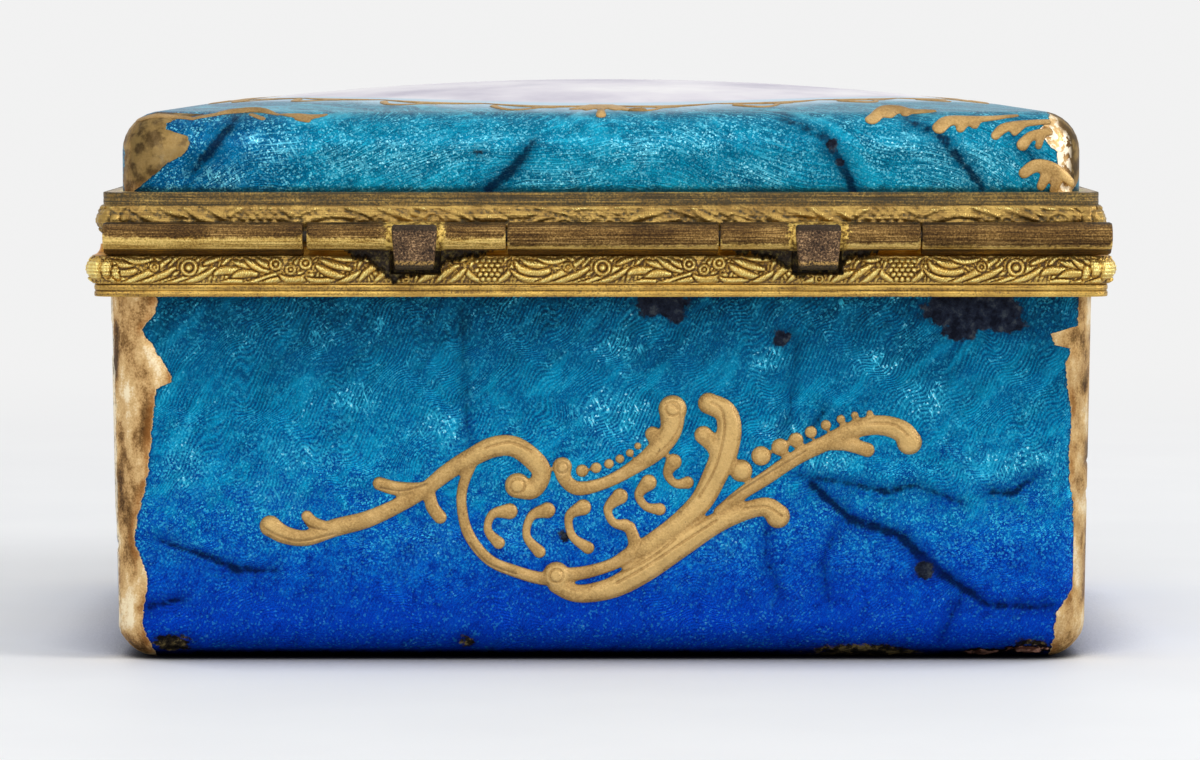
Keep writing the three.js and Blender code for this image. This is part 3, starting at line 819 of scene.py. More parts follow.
lid = {
    "corner": 4.2, "edge": 4.0, "wall": 1.4, "base": 1.4,
    "cuts": (225, 170, 14), "steps": (9, 8), "innerCuts": (48, 36, 4), "innerSteps": (6, 6),
    "crown": 3.0, "crownStart": 1.0,
    "field": (38.0, 29.0),          # half sizes of the oval field on top
    "giltWide": {
        "plusX": [(46.5, 1.2), (47.4, 1.6), (48.3, 2.8), (49.1, 3.8), (50.1, 5.0), (51.1, 6.7), (51.9, 7.2),
                  (52.8, 6.9), (53.4, 4.7), (54.0, 4.6), (54.6, 6.0), (55.0, 9.0)],
        "minusX": [(46.5, 2.0), (48.3, 3.3), (49.8, 2.6), (51.3, 2.6), (52.3, 3.9), (53.3, 4.5), (54.3, 3.5),
                   (55.2, 3.0)],
    },
    "creases": [
        [(-36.8, 54.4, 0.35), (-38.2, 52.6, 0.6), (-39.6, 50.9, 0.65), (-40.9, 49.4, 0.35)],
        [(-6.7, 52.4, 0.35), (-8.4, 50.0, 0.65), (-11.3, 47.4, 0.65)],
        [(18.3, 54.5, 0.3), (22.2, 52.9, 0.5), (24.0, 50.3, 0.55), (25.5, 47.1, 0.5)],
        [(30.9, 54.5, 0.25), (34.2, 52.7, 0.5), (38.3, 47.6, 0.45)],
        [(41.2, 53.0, 0.2), (43.5, 50.2, 0.3)],
    ],
    "losses": [(-12.3, 51.4, 0.45, 0.35), (23.1, 51.7, 0.7, 0.7), (24.0, 50.2, 0.45, 0.4)],
    # painted highlights on the gilded corner: centre and half sizes
    "giltHighlightSpots": [(44.2, 53.6, 1.7, 1.5), (46.6, 51.2, 1.5, 1.6), (47.2, 48.2, 1.0, 1.2)],
    # patches where the lid's foil gets more painted glints: centre and half sizes
    "shine": [(-33.0, 51.8, 2.6, 1.6), (-21.0, 50.5, 6.0, 1.6), (-12.0, 52.0, 3.0, 1.0), (4.0, 51.5, 5.0, 1.2),
              (10.0, 52.6, 5.0, 1.0), (-4.0, 48.8, 4.0, 1.0), (16.0, 49.4, 3.0, 1.5), (36.5, 49.6, 5.0, 2.2),
              (30.0, 52.0, 3.0, 1.2), (-38.0, 48.6, 2.0, 1.0)],
}


lidShoulder = lidHigh.z - lid["crown"] * mm
lidFlatX, lidFlatY = lidHigh.x / mm - lid["edge"], lidHigh.y / mm - lid["edge"]


def lidDome(x, y):
    return np.maximum(1 - (x / lidFlatX) ** 2, 0) * np.maximum(1 - (y / lidFlatY) ** 2, 0)


def lidTop(x, y):
    # height in mm of the lid's outer surface over a place
    edge = lid["edge"]
    beyond = np.hypot(np.maximum(np.abs(x) - lidFlatX, 0), np.maximum(np.abs(y) - lidFlatY, 0))
    rounded = np.sqrt(np.maximum(edge ** 2 - beyond ** 2, 0))
    return lidShoulder / mm - edge + rounded + lid["crown"] * lidDome(x, y)


def raiseCrown(points, start):
    share = np.clip((points[:, 2] - start) / (lid["crownStart"] * mm), 0, 1)
    points[:, 2] += lid["crown"] * mm * lidDome(points[:, 0] / mm, points[:, 1] / mm) * share


def makeLid():
    print("lid shell")
    piece = makeShell("lidEnamel", lid, lidLow, Vector((lidHigh.x, lidHigh.y, lidShoulder)), True)
    x, y, z, halfX, halfY, onEnd, across, half, behind = wallPlaces(readPoints(piece), lidHigh)
    side = np.minimum(halfX - np.abs(x), halfY - np.abs(y))
    leftWide = stepAt(z, lid["giltWide"]["plusX"])
    rightWide = stepAt(z, lid["giltWide"]["minusX"])
    gilt = np.maximum(leftWide - (half + across), rightWide - (half - across))
    gilt = np.where(side > 3.0, 4.6 - np.hypot(halfX - np.abs(x), halfY - np.abs(y)), gilt)
    crease = lineDistance(np.where(behind, across, -across + 7), z, lid["creases"])
    giltHighlightSpots = spotDistance(across, z, lid["giltHighlightSpots"]) > -0.2
    writeValues(piece, gilt=gilt, crease=np.where(side > 5, farOff, crease),
                loss=np.where(behind & (side < 5), spotDistance(across, z, lid["losses"]), farOff),
                haze=(1 - np.hypot(x / lid["field"][0], y / lid["field"][1])) * lid["field"][1],
                shine=spotDistance(across, z, lid["shine"]) + 0.6, crumbs=giltHighlightSpots & (side < 6),
                stain=np.where(across < 0, 1, np.where(giltHighlightSpots, 0, 0.8)) * np.clip((z - 46.5) / 2, 0.5, 1))
    finishPiece(piece, "lidEnamel", (enamelLook("lidEnamel", lid=True), counterEnamelLook()), 50,
                "lid", "lid_enamel", "lid_shell")


mount = {
    "landOut": 0.75, "coveDrop": 1.1, "bandOut": 1.5, "bandHigh": 2.8, "bandBulge": 0.42,
    "filletOut": 1.36, "filletHigh": 0.53, "grooveWide": 0.12, "grooveDeep": 0.12, "corner": 1.9,
    "wallGrip": 0.7, "legReach": 0.8, "fit": 0.1, "upperProud": 0.25,
    "step": 0.115,            # mm between columns
    "squareTo": 0.8,          # share of a side's length along which the columns run square
    "relief": 0.26,           # mm from ground to leaf crest
    "ground": 0.14,           # mm that the ground is sunk
    "period": 41.3,           # mm from one seed pod to the next
    "stripStep": 0.05,        # mm between two places where the ornament is worked out
    "leafWide": 1.4, "bladeGap": 0.59, "podStart": 11.2,
    "petals": [(0.35, 0.75, 1.15, 1.35), (1.55, 0.6, 1.0, 1.2), (2.5, 0.45, 0.8, 1.7)],
    "innerCorner": 2.0,
    # where each length starts in the repeat, and what the upper mount adds
    "starts": {"back": 0.0, "left": 9.0, "front": 20.0, "right": 33.0}, "upperStart": 17.0,
}

# the embossed repeat: places in mm along from the seed pod and down from the cove side
pod = [(along * 0.58 + (row % 2) * 0.29, 0.5 + row * 0.46, 0.29)
       for row in range(5) for along in range(-2 + (row > 3), 3 - (row % 2) - (row > 3))]
leafStrokes = [
    # start, bend, end, half width
    [(-2.5, 0.3), (-2.5, 2.3), (-0.2, 2.65), 0.2], [(2.4, 0.3), (2.4, 2.3), (0.2, 2.65), 0.2],
    [(2.6, 0.5), (3.4, 2.2), (5.9, 1.5), 0.3], [(2.2, 1.4), (3.6, 3.0), (6.8, 2.2), 0.22],
    [(3.2, 0.3), (4.6, 1.3), (6.2, 0.5), 0.26], [(4.7, 0.1), (6.0, 0.9), (7.6, 0.3), 0.2],
    [(4.7, 2.7), (6.8, 2.3), (9.4, 0.3), 0.24], [(6.2, 2.7), (8.2, 2.4), (9.9, 1.2), 0.22],
    [(8.0, 2.7), (9.8, 2.5), (10.6, 2.2), 0.2],
    [(9.0, 2.75), (12.0, 2.4), (13.6, 0.15), 0.26], [(10.4, 2.75), (12.6, 2.4), (13.9, 1.2), 0.2],
    [(12.8, 0.9), (13.3, 0.5), (14.4, 0.2), 0.2],
    [(13.9, 1.9), (14.4, 1.2), (16.5, 1.5), 0.28], [(15.6, 2.3), (16.5, 1.5), (18.0, 1.8), 0.28],
    [(14.6, 2.6), (15.6, 2.5), (17.0, 2.6), 0.18],
    [(15.7, 0.5), (17.0, 1.1), (18.6, 0.8), 0.24], [(16.9, 0.2), (17.8, 1.1), (19.2, 1.5), 0.24],
    [(18.0, 0.2), (18.6, 0.8), (19.6, 1.1), 0.2],
    [(16.9, 2.7), (18.8, 2.6), (20.4, 1.7), 0.24], [(18.4, 2.7), (19.8, 2.5), (21.0, 2.1), 0.2],
    [(20.4, 1.9), (21.4, 3.0), (23.6, 1.9), 0.26], [(23.0, 2.1), (24.0, 2.9), (25.8, 2.3), 0.22],
    [(24.0, 0.8), (24.8, 1.7), (26.8, 2.1), 0.26], [(24.4, 0.3), (25.6, 0.9), (27.4, 1.3), 0.24],
    [(25.4, 0.1), (26.4, 0.3), (28.0, 0.4), 0.18], [(26.0, 2.7), (27.2, 2.5), (28.4, 1.6), 0.2],
    [(28.3, 2.6), (29.0, 1.3), (30.8, 0.6), 0.24], [(29.8, 2.7), (30.6, 1.7), (32.2, 1.3), 0.22],
    [(28.6, 0.3), (29.4, 0.5), (30.2, 0.3), 0.18],
    [(31.2, 1.5), (31.8, 0.6), (33.4, 0.3), 0.26], [(33.0, 2.3), (33.8, 1.0), (36.0, 0.5), 0.28],
    [(31.4, 2.7), (32.4, 2.5), (33.2, 1.8), 0.2], [(34.2, 2.7), (35.0, 1.9), (36.6, 1.6), 0.24],
    [(36.0, 2.7), (36.8, 1.7), (38.2, 0.9), 0.24], [(37.2, 2.7), (38.2, 2.2), (38.9, 1.3), 0.22],
    [(37.4, 0.4), (38.2, 0.5), (39.0, 0.3), 0.18],
]
roses = [(11.35, 1.15, 0.72), (20.0, 0.8, 0.5), (23.0, 0.7, 0.5), (21.5, 1.35, 0.4), (7.9, 1.1, 0.34),
         (33.0, 2.3, 0.3), (30.9, 0.5, 0.26)]


def layStroke(along, across, line, field, furrow=0.13):
    # lays a rounded stroke over what is there, with a thin furrow round it
    low = min(p[0] - p[2] for p in line) - 0.3
    high = max(p[0] + p[2] for p in line) + 0.3
    near = np.nonzero((along > low) & (along < high))[0]
    if not len(near):
        return
    inside = np.full(near.shape, farOff)
    rise = np.zeros(near.shape)
    for away, wide in segments(along[near], across[near], line):
        wide = np.maximum(wide, 0.03)
        part = np.clip((wide - away) / wide, 0, 1)
        inside = np.maximum(inside, wide - away)
        rise = np.maximum(rise, np.sqrt(1 - (1 - part) ** 2) * np.clip(wide / 0.26, 0.45, 1))
    clear = 1 - np.clip((inside + furrow) / 0.1, 0, 1)
    field[near] = np.maximum(field[near] * clear, rise)


def bentLine(start, bend, end, wide, steps=7):
    # a leaf: thin at its stem, widest past the middle, blunt at its tip
    line = []
    for k in range(steps + 1):
        t = k / steps
        u, v = [(1 - t) ** 2 * start[i] + 2 * t * (1 - t) * bend[i] + t * t * end[i] for i in (0, 1)]
        line.append((u, v, wide * (0.3 + 0.9 * math.sin(math.pi * (0.04 + 0.8 * t)))))
    return line


def ringLine(u, v, radius, wide, steps=12):
    angles = [2 * math.pi * k / steps for k in range(steps + 1)]
    return [(u + radius * math.cos(a), v + radius * math.sin(a), wide) for a in angles]


def boxBlur(grid, reach, axis):
    return sum(np.roll(grid, k, axis) for k in range(-reach, reach + 1)) / (2 * reach + 1)


def embossedStrip():
    # one repeat of the ornament on a fine grid: its height, how far each place stands over what is round it,
    # and the height after long wear
    period, step = mount["period"], mount["stripStep"]
    columns, rows = int(round(period / step)), int(mount["bandHigh"] / step) + 1
    places = np.meshgrid(np.arange(columns) * step, np.arange(rows) * step, indexing="ij")
    along, across = [place.ravel() for place in places]
    field = np.full(along.shape, 0.12)
    # a ground of short blades, then leaves, flowers and seed pods over it
    strokes = []
    blade = mount["bladeGap"]
    for k in range(int(period / blade)):
        lean = 1.0 if math.sin(k * 0.31 + 1) > -0.5 else -1.0
        for row, (top, bottom) in enumerate(((0.1, 1.4), (1.2, 2.75))):
            u = k * blade + 0.14 * math.sin(k * 2.7) + row * 0.3
            bend, tip = (u + lean * 0.1, (top + bottom) / 2 - 0.3), (u + lean, top)
            strokes.append([(a, b, w * 0.8) for a, b, w in bentLine((u, bottom), bend, tip, 0.26, 4)])
    for start, bend, end, wide in leafStrokes:
        strokes.append(bentLine(start, bend, end, wide * mount["leafWide"]))
    for u, v, r in roses:
        strokes += [ringLine(u, v, r, 0.19), [(u, v, r * 0.5), (u + 0.01, v, r * 0.5)]]
    strokes += [[(u, v, r), (u + 0.01, v, r)] for u, v, r in pod]
    for line in strokes:
        for turn in (-1, 0, 1):
            layStroke(along, across, [(u + turn * period, v, w) for u, v, w in line], field)
    field = field.reshape(columns, rows)
    around = boxBlur(boxBlur(field, 5, 0), 5, 1)
    return field, field - around, boxBlur(boxBlur(field, 2, 1), 2, 0)


def sampled(grid, along, across):
    step = mount["stripStep"]
    column, row = along % mount["period"] / step, np.clip(across, 0, mount["bandHigh"]) / step
    c, r = np.floor(column).astype(int), np.floor(row).astype(int)
    fc, fr = column - c, row - r
    columns, rows = grid.shape
    c0, c1 = c % columns, (c + 1) % columns
    r0, r1 = np.minimum(r, rows - 1), np.minimum(r + 1, rows - 1)
    return ((grid[c0, r0] * (1 - fc) + grid[c1, r0] * fc) * (1 - fr)
            + (grid[c0, r1] * (1 - fc) + grid[c1, r1] * fc) * fr)


def embossing(along, across, toMitre, worn):
    # height in mm over the band's plain curve and the tone, lighter on crests and darker in crevices: patina in the
    # hollows with painted light and shade; across runs from the cove to the fillets
    if worn:
        # the same dies, softened by wear and struck larger
        field = sampled(strip[2], along * 0.66 + mount["podStart"], across * 0.9)
        cavity = (field - 0.45) * 0.5
    else:
        field, cavity = [sampled(grid, along + mount["podStart"], across) for grid in strip[:2]]
    # ribbed petals fill each mitre: how far from it, half sizes, and the middle
    for at, wide, tall, middle in mount["petals"]:
        ring = np.hypot((toMitre - at) / wide, (across - middle) / tall)
        ribs = 0.12 * np.cos(across * 2 * math.pi / 0.36)
        petal = np.sqrt(np.maximum(1 - ring ** 2, 0)) + ribs * (ring < 0.9)
        field = np.where(ring < 1, petal, field * np.clip((ring - 1) / 0.16, 0, 1))
        shade = 0.35 * np.clip((1.2 - ring) / 0.2, 0, 1) * (ring > 1)
        cavity = np.where(ring < 1, 0.25 * petal + ribs, cavity - shade)
    bigLumps = np.sin(along * 3.7 + 1.4 * np.sin(across * 3)) * np.sin(across * 4.9 + 1.3 * np.sin(along * 2.1))
    smallLumps = np.sin(along * 9.1 + across * 4.3) * np.sin(across * 8.7 - along * 1.9)
    lumps = 0.3 * bigLumps + 0.2 * smallLumps
    edge = np.clip(np.minimum(across / 0.25, (mount["bandHigh"] - across) / 0.2), 0, 1)
    ticks = (np.sin(along * 2 * math.pi / 0.42 + across * 5) > 0.1) * (across < 0.3) * (across > 0.02)
    height = field * 0.7 + lumps * 0.3 if worn else field
    height = (height * (mount["relief"] + mount["ground"]) - mount["ground"]) * edge + 0.05 * ticks
    tone = 0.2 + 0.42 * field + 1.35 * cavity
    if worn:
        # a plain strip along the top, and darker towards the barrel
        strand = np.clip(1 - np.abs(across - 2.55) / 0.22, 0, 1)
        tone = 0.34 + 0.34 * (field - 0.4) + 0.45 * lumps + 0.16 * strand - 0.14 * np.clip(1.7 - across, 0, 1)
    tone = tone * edge + (0.3 + 0.3 * ticks) * (1 - edge)
    return height, np.clip(tone, 0, 1.1)


def mountFace(upper):
    # out from the wall and up from the parting line, mm
    face = []
    for k in range(6):
        angle = math.pi / 2 * k / 6
        out = mount["landOut"] + (mount["bandOut"] - mount["landOut"]) * (1 - math.cos(angle))
        face.append((out, mount["coveDrop"] * math.sin(angle)))
    rows = 25
    for k in range(rows + 1):
        share = k / rows
        face.append((mount["bandOut"] + mount["bandBulge"] * math.sin(math.pi * share),
                     mount["coveDrop"] + mount["bandHigh"] * share))
    up = mount["coveDrop"] + mount["bandHigh"]
    for fillet in range(2):
        sunk = mount["grooveDeep"] * (0.35 if upper else 1)
        face.append((mount["filletOut"] - sunk, up + mount["grooveWide"] / 2))
        up += mount["grooveWide"]
        for share in (0.0, 0.12, 0.35, 0.65, 0.88, 1.0):
            bow = (0.02 if upper else 0.055) * math.sin(math.pi * share) ** 0.6 if 0 < share < 1 else 0
            face.append((mount["filletOut"] - 0.05 + bow, up + mount["filletHigh"] * share))
        up += mount["filletHigh"]
    return face


def drawSection(points):
    # one vertex, pulled out from point to point, then closed
    bpy.ops.object.select_all(action="DESELECT")
    bpy.ops.mesh.primitive_plane_add(size=1 * mm, location=(0, 0, 0))
    piece = bpy.context.object
    bpy.ops.object.mode_set(mode="EDIT")
    bpy.ops.mesh.select_mode(type="VERT")
    bpy.ops.mesh.select_all(action="SELECT")
    bpy.ops.mesh.merge(type="CENTER")
    bpy.ops.transform.translate(value=Vector(points[0]))
    for before, after in zip(points, points[1:]):
        step = Vector(after) - Vector(before)
        bpy.ops.mesh.extrude_region_move(TRANSFORM_OT_translate={"value": step})
    bpy.ops.mesh.select_all(action="SELECT")
    bpy.ops.mesh.edge_face_add()
    editDone()
    return piece


def drawBar(points, low, high, cuts):
    # a section pulled along X and cut across
    piece = drawSection([(low, y, z) for y, z in points])
    edit(piece)
    bpy.ops.mesh.select_all(action="SELECT")
    bpy.ops.mesh.extrude_region_move(TRANSFORM_OT_translate={"value": (high - low, 0, 0)})
    cutAcross(piece, 0, high - low, cuts)
    editDone()
    facesOut(piece)
    return piece


def sweepMount(sizes, side, upper):
    wallX, wallY, inner = sizes
    halfLong, halfDeep = (wallX, wallY) if side in ("back", "front") else (wallY, wallX)
    face = mountFace(upper)
    rim = face[-1][1]
    leg = (lid["wall"] if upper else body["wall"]) + mount["fit"]
    rest = [(0, rim), (0, rim - mount["wallGrip"]), (-leg, rim - mount["wallGrip"]),
            (-leg, rim + mount["legReach"]), (-inner, rim + mount["legReach"]), (-inner, 0)]
    corner = body["corner"]
    radii = [mount["corner"]] * len(face) + [corner, corner, corner - leg, corner - leg]
    radii += [mount["innerCorner"]] * 2
    proud = mount["upperProud"] if upper else 0.0
    section = [(out + proud, up) for out, up in face] + rest
    cuts = int(2 * (halfLong + mount["bandOut"]) / mount["step"])
    piece = drawBar([(a * mm, b * mm) for a, b in section], -1 * mm, 1 * mm, cuts)
    t, out, up = (readPoints(piece) / mm).T
    radius = np.zeros(t.shape)
    isFace = np.zeros(t.shape, bool)
    for k, (a, b) in enumerate(section):
        here = (np.abs(out - a) < 1e-4) & (np.abs(up - b) < 1e-4)
        radius[here] = radii[k]
        isFace |= here & (k < len(face))
    # the cuts run square through the section, and slant only near the mitres
    straight = halfLong + out - radius
    own = straight + radius * math.pi / 4
    square = mount["squareTo"] * own.max()
    slant = np.clip((np.abs(t) - mount["squareTo"]) / (1 - mount["squareTo"]), 0, 1)
    along = np.sign(t) * (np.minimum(np.abs(t) * own.max(), square) + slant * (own - square))

    bandStart, bandEnd, close = mount["coveDrop"], mount["coveDrop"] + mount["bandHigh"], 1e-6
    band = isFace & (up >= bandStart - close) & (up <= bandEnd + close)
    cove = isFace & (up < bandStart - close)
    height, relief = np.zeros(t.shape), np.ones(t.shape)
    start = mount["starts"][side] + (mount["upperStart"] if upper else 0)
    height[band], relief[band] = embossing(-along[band] + start, up[band] - bandStart,
                                           (own - np.abs(along))[band], upper)
    # the cove gets a low tone: painted shade under the barrel
    relief[cove] = 0.3
    groove = isFace & (out - proud < mount["filletOut"] - 0.03 * (1 if upper else 3)) & (up > 3)
    fromGroove = (up - bandEnd) % (mount["grooveWide"] + mount["filletHigh"]) - mount["grooveWide"] / 2
    groove &= np.abs(fromGroove) < 0.03
    relief[isFace & (up > bandEnd + 0.1)] = 0.14 if upper else 0.3
    relief[groove] = 0.12
    if side == "back" and not upper:
        height, relief = filedAway(along, out + height, up, height, relief, isFace)
    angle = np.clip((np.abs(along) - straight) / radius, 0, math.pi / 4)
    reach = radius + height
    x, y = turnedTo(side, np.sign(along) * (np.minimum(np.abs(along), straight) + reach * np.sin(angle)),
                    halfDeep + out - radius + reach * np.cos(angle))
    writePoints(piece, np.stack([x, y, partingZ / mm + (up if upper else -up)], 1) * mm)
    facesOut(piece)
    # the cove's painted glow is stronger towards one end
    writeValues(piece, relief=relief, cove=cove * np.clip(0.8 - along / 90, 0.45, 1) * (height > -0.05))
    row = "upper" if upper else "lower"
    finishPiece(piece, row + "Mount" + side.capitalize(), (mountLooks[row],), 55,
                "lid" if upper else "box", "gilt_brass", row + "_mount_" + side)


# the pockets that the stops swing into, and the hand-filed hollows beside them
filing = {
    "pocketSide": 0.3, "pocketFloor": 2.9, "pocketBack": -1.3,
    # on each stop: how far down the filed hollow runs, from the -X side to the +X side
    "hollows": {
        "stop_block_right": [(-8.0, 0.1), (-7.2, 0.8), (-4.5, 1.3), (-3.0, 1.7), (-2.4, 2.3), (0.0, 2.9),
                             (1.3, 3.2), (2.3, 3.7), (2.9, 3.2), (3.5, 2.4), (4.5, 1.6), (6.5, 1.0), (7.6, 0.1)],
        "stop_block_left": [(-6.6, 0.1), (-6.0, 0.8), (-3.2, 1.3), (-2.3, 1.9), (0.0, 2.7), (2.1, 3.1),
                            (2.8, 2.4), (3.8, 1.6), (5.8, 1.0), (8.3, 0.7), (9.0, 0.1)],
    },
    "hollowOut": 0.72,
}


def filedAway(along, out, up, height, relief, isFace):
    for name, edge in filing["hollows"].items():
        low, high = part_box(name)
        half = (high.x - low.x) / 2 / mm + filing["pocketSide"]
        aside = along - (low.x + high.x) / 2 / mm
        rough = 0.14 * np.sin(along * 3.1 + 1) + 0.12 * np.sin(along * 7.7) + 0.08 * np.sin(along * 17)
        deep = np.interp(aside, [p[0] for p in edge], [p[1] for p in edge], left=0, right=0)
        deep = deep + rough * (deep > 0.05)
        hollow = isFace & (up < deep + 0.25)
        slope = np.clip((deep - up) / 0.35 + 0.5, 0, 1)
        target = filing["hollowOut"] + 0.08 * np.sin(along * 9) * np.sin(up * 8)
        cut = np.where(hollow, np.minimum(0, (target - out)) * slope, 0)
        inPocket = isFace & (np.abs(aside) < half) & (up < filing["pocketFloor"])
        wall = np.clip((half - np.abs(aside)) / 0.15, 0, 1)
        out = out + cut
        height = height + cut + np.where(inPocket, np.minimum((filing["pocketBack"] - out) * wall, 0), 0)
        relief = np.where(inPocket | (hollow & (slope > 0.3)), -0.5, relief)
    return height, relief


def mountLook(name, tones, patina, darkness):
    look = Look(name)
    relief = look.attribute("relief")
    wear = look.noise(2.4, 3)
    fine = look.noise(0.2, 3, rough=0.65)
    lengthwise = look.noise(1.0, 3, place=look.stretch((0.12, 0.12, 7.0)))
    # fine ribs across the leaves
    side = look.x + look.y
    ribs = look.sine(side * 21.0 + look.noise(1.6, 2) * 26.0) * look.fade(relief, 0.42, 0.66)
    tone = wear * 0.45 + lengthwise * 0.35 + relief * 0.22
    gold = look.ramp(tone, tones)
    level = (fine - 0.5) * 0.8 + relief + (lengthwise - 0.5) * 0.6 + ribs * 0.1
    # patina in the low places, deepened with painted shade in the crevices
    patinaAndShade = look.fade(level, 0.36, 0.02)
    shade = look.blend(patinaAndShade * darkness, gold, patina)
    # painted highlight on the crests
    crest = look.fade(level, 0.66, 0.95)
    shade = look.blend(crest * 0.7, shade, colour(250, 232, 146))
    spots = look.fade(look.noise(0.7, 3, rough=0.7), 0.35, 0.27)
    shade = look.blend(spots * 0.6, shade, patina)
    # painted light and shade: the cove between the barrel and the band is painted a warm brown glow
    covePaintedLight = look.ramp(tone, [(0.34, 130, 74, 6), (0.46, 218, 150, 34), (0.6, 255, 206, 92)])
    shade = look.blend(look.attribute("cove"), shade, covePaintedLight)
    # the filed hollows carry old dirt and verdigris, deepened with painted shade in the pocket under each stop
    filed = look.fade(relief, -0.1, -0.3)
    filth = look.ramp(look.noise(0.5, 4, rough=0.7),
                      [(0.36, 26, 20, 14), (0.5, 60, 46, 30), (0.58, 104, 92, 48), (0.68, 168, 140, 76)])
    shade = look.blend(filed, shade, filth)
    scratches = fine * 0.8 + lengthwise * 0.6 + ribs * 0.3
    return look.surface({"Base Color": shade, "Roughness": patinaAndShade * 0.3 + 0.3, "Metallic": patinaAndShade * -0.5 + 0.85,
                         "Normal": look.bump(scratches, 0.07)})


mountLooks = {}
strip = []


def makeMounts():
    print("mounts")
    strip.extend(embossedStrip())
    # the lower mount's gilt is lighter than the upper's: partly the upper mount's wear, partly painted light from
    # the floor below
    bright = [(0.32, 148, 112, 52), (0.48, 196, 158, 78), (0.66, 224, 190, 104)]
    dull = [(0.28, 100, 76, 38), (0.42, 138, 108, 56), (0.6, 180, 148, 80)]
    mountLooks["lower"] = mountLook("brightGilt", bright, colour(74, 50, 22), 0.9)
    mountLooks["upper"] = mountLook("dullGilt", dull, colour(50, 46, 28), 0.85)
    lowerSizes = (bodyHigh.x / mm, bodyHigh.y / mm, (bodyHigh.y - lowerLow.y) / mm)
    upperSizes = (lidHigh.x / mm, lidHigh.y / mm, (lidHigh.y - upperLow.y) / mm)
    for side in ("back", "left", "front", "right"):
        sweepMount(lowerSizes, side, False)
        sweepMount(upperSizes, side, True)


# Hinge

barrel = {
    "radius": 1.4, "steps": 40, "endBevel": 0.1, "cut": 0.25, "bore": 0.55, "looseBore": 0.8,
    "bodyFoot": [(1.21, -1.04), (0.97, -0.8), (0.82, -0.44), (0.77, -0.02)],
    "flareOut": 0.3, "flareLong": 1.3,
    # how far up the golden, rubbed part of each knuckle comes, mm
    "bright": {"knuckle_outer_left": -0.2, "knuckle_lid_left": 0.05, "knuckle_centre": -0.15,
               "knuckle_lid_right": 0.6, "knuckle_outer_right": 0.65},
    # how far up the golden part of each knuckle comes, mm: painted reflection of the floor on the barrel's lower
    # side
    "slit": {"knuckle_outer_right": (0.12, 0), "knuckle_lid_right": (0, -0.12)},
}


def knuckleOutline(lower):
    ring = []
    radius = barrel["radius"]
    start, end = (-78, 195) if lower else (-165, 100)
    for k in range(barrel["steps"] + 1):
        angle = math.radians(start + (end - start) * k / barrel["steps"])
        ring.append((hinge.y / mm + radius * math.cos(angle), hinge.z / mm + radius * math.sin(angle)))
    if lower:
        foot = [(bodyHigh.y / mm + out, partingZ / mm + up) for out, up in barrel["bodyFoot"]]
        hollow = [(hinge.y / mm - 0.02, hinge.z / mm - radius * 1.12),
                  (hinge.y / mm - 0.32, hinge.z / mm - radius * 1.28)]
        return list(reversed(foot)) + list(reversed(hollow)) + ring
    wall = lidHigh.y / mm + mount["upperProud"]
    foot = [(wall + out, partingZ / mm - up) for out, up in barrel["bodyFoot"]]
    return ring + foot


def makeKnuckle(name, node, lower):
    low, high = [end.copy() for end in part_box(node)]
    shorter = barrel["slit"].get(node, (0, 0))
    low.x += shorter[0] * mm
    high.x += shorter[1] * mm
    outline = [(a * mm, b * mm) for a, b in knuckleOutline(lower)]
    piece = drawBar(outline, low.x, high.x, int((high.x - low.x) / mm / barrel["cut"]))
    bpy.ops.object.select_all(action="DESELECT")
    bpy.ops.mesh.primitive_cylinder_add(vertices=32, radius=barrel["bore" if lower else "looseBore"] * mm,
                                        depth=(high.x - low.x) * 1.2, rotation=(0, math.pi / 2, 0),
                                        location=((low.x + high.x) / 2, hinge.y, hinge.z))
    drill = settle(bpy.context.object)
    cut = piece.modifiers.new("bore", "BOOLEAN")
    cut.object = drill
    cut.operation = "DIFFERENCE"
    cut.solver = "EXACT"
    applyAll(piece)
    bpy.data.objects.remove(drill)
    # x along the hinge, y and z from its axis, mm
    x, y, z = ((readPoints(piece) - np.array([0, hinge.y, hinge.z])) / mm).T
    outer = np.hypot(y, z) > barrel["radius"] * 0.9
    solder = np.zeros(len(x))
    if not lower:
        stopLow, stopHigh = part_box(node.replace("knuckle_lid", "stop_block"))
        beside = np.maximum(np.maximum(x - stopHigh.x / mm, stopLow.x / mm - x), 0)
        grown = np.exp(-beside / barrel["flareLong"])
        solder = np.exp(-beside / 0.85)
        facing = outer & (y > 0)
        y = y * (1 + barrel["flareOut"] / barrel["radius"] * grown * facing)
        z = z * np.where(facing, 1 + 0.05 * grown, 1)
    ends = np.minimum(x - low.x / mm, high.x / mm - x)
    shrink = np.where(outer & (ends < 0.05), 1 - barrel["endBevel"] / barrel["radius"], 1)
    writePoints(piece, np.stack([x, y * shrink + hinge.y / mm, z * shrink + hinge.z / mm], 1) * mm)
    writeValues(piece, solder=solder, bright=barrel["bright"][node] + 0.5 * np.clip(1 - ends / 0.3, 0, 1))
    finishPiece(piece, name, (wornBrass,), 45, "box" if lower else "lid", "worn_brass", node)


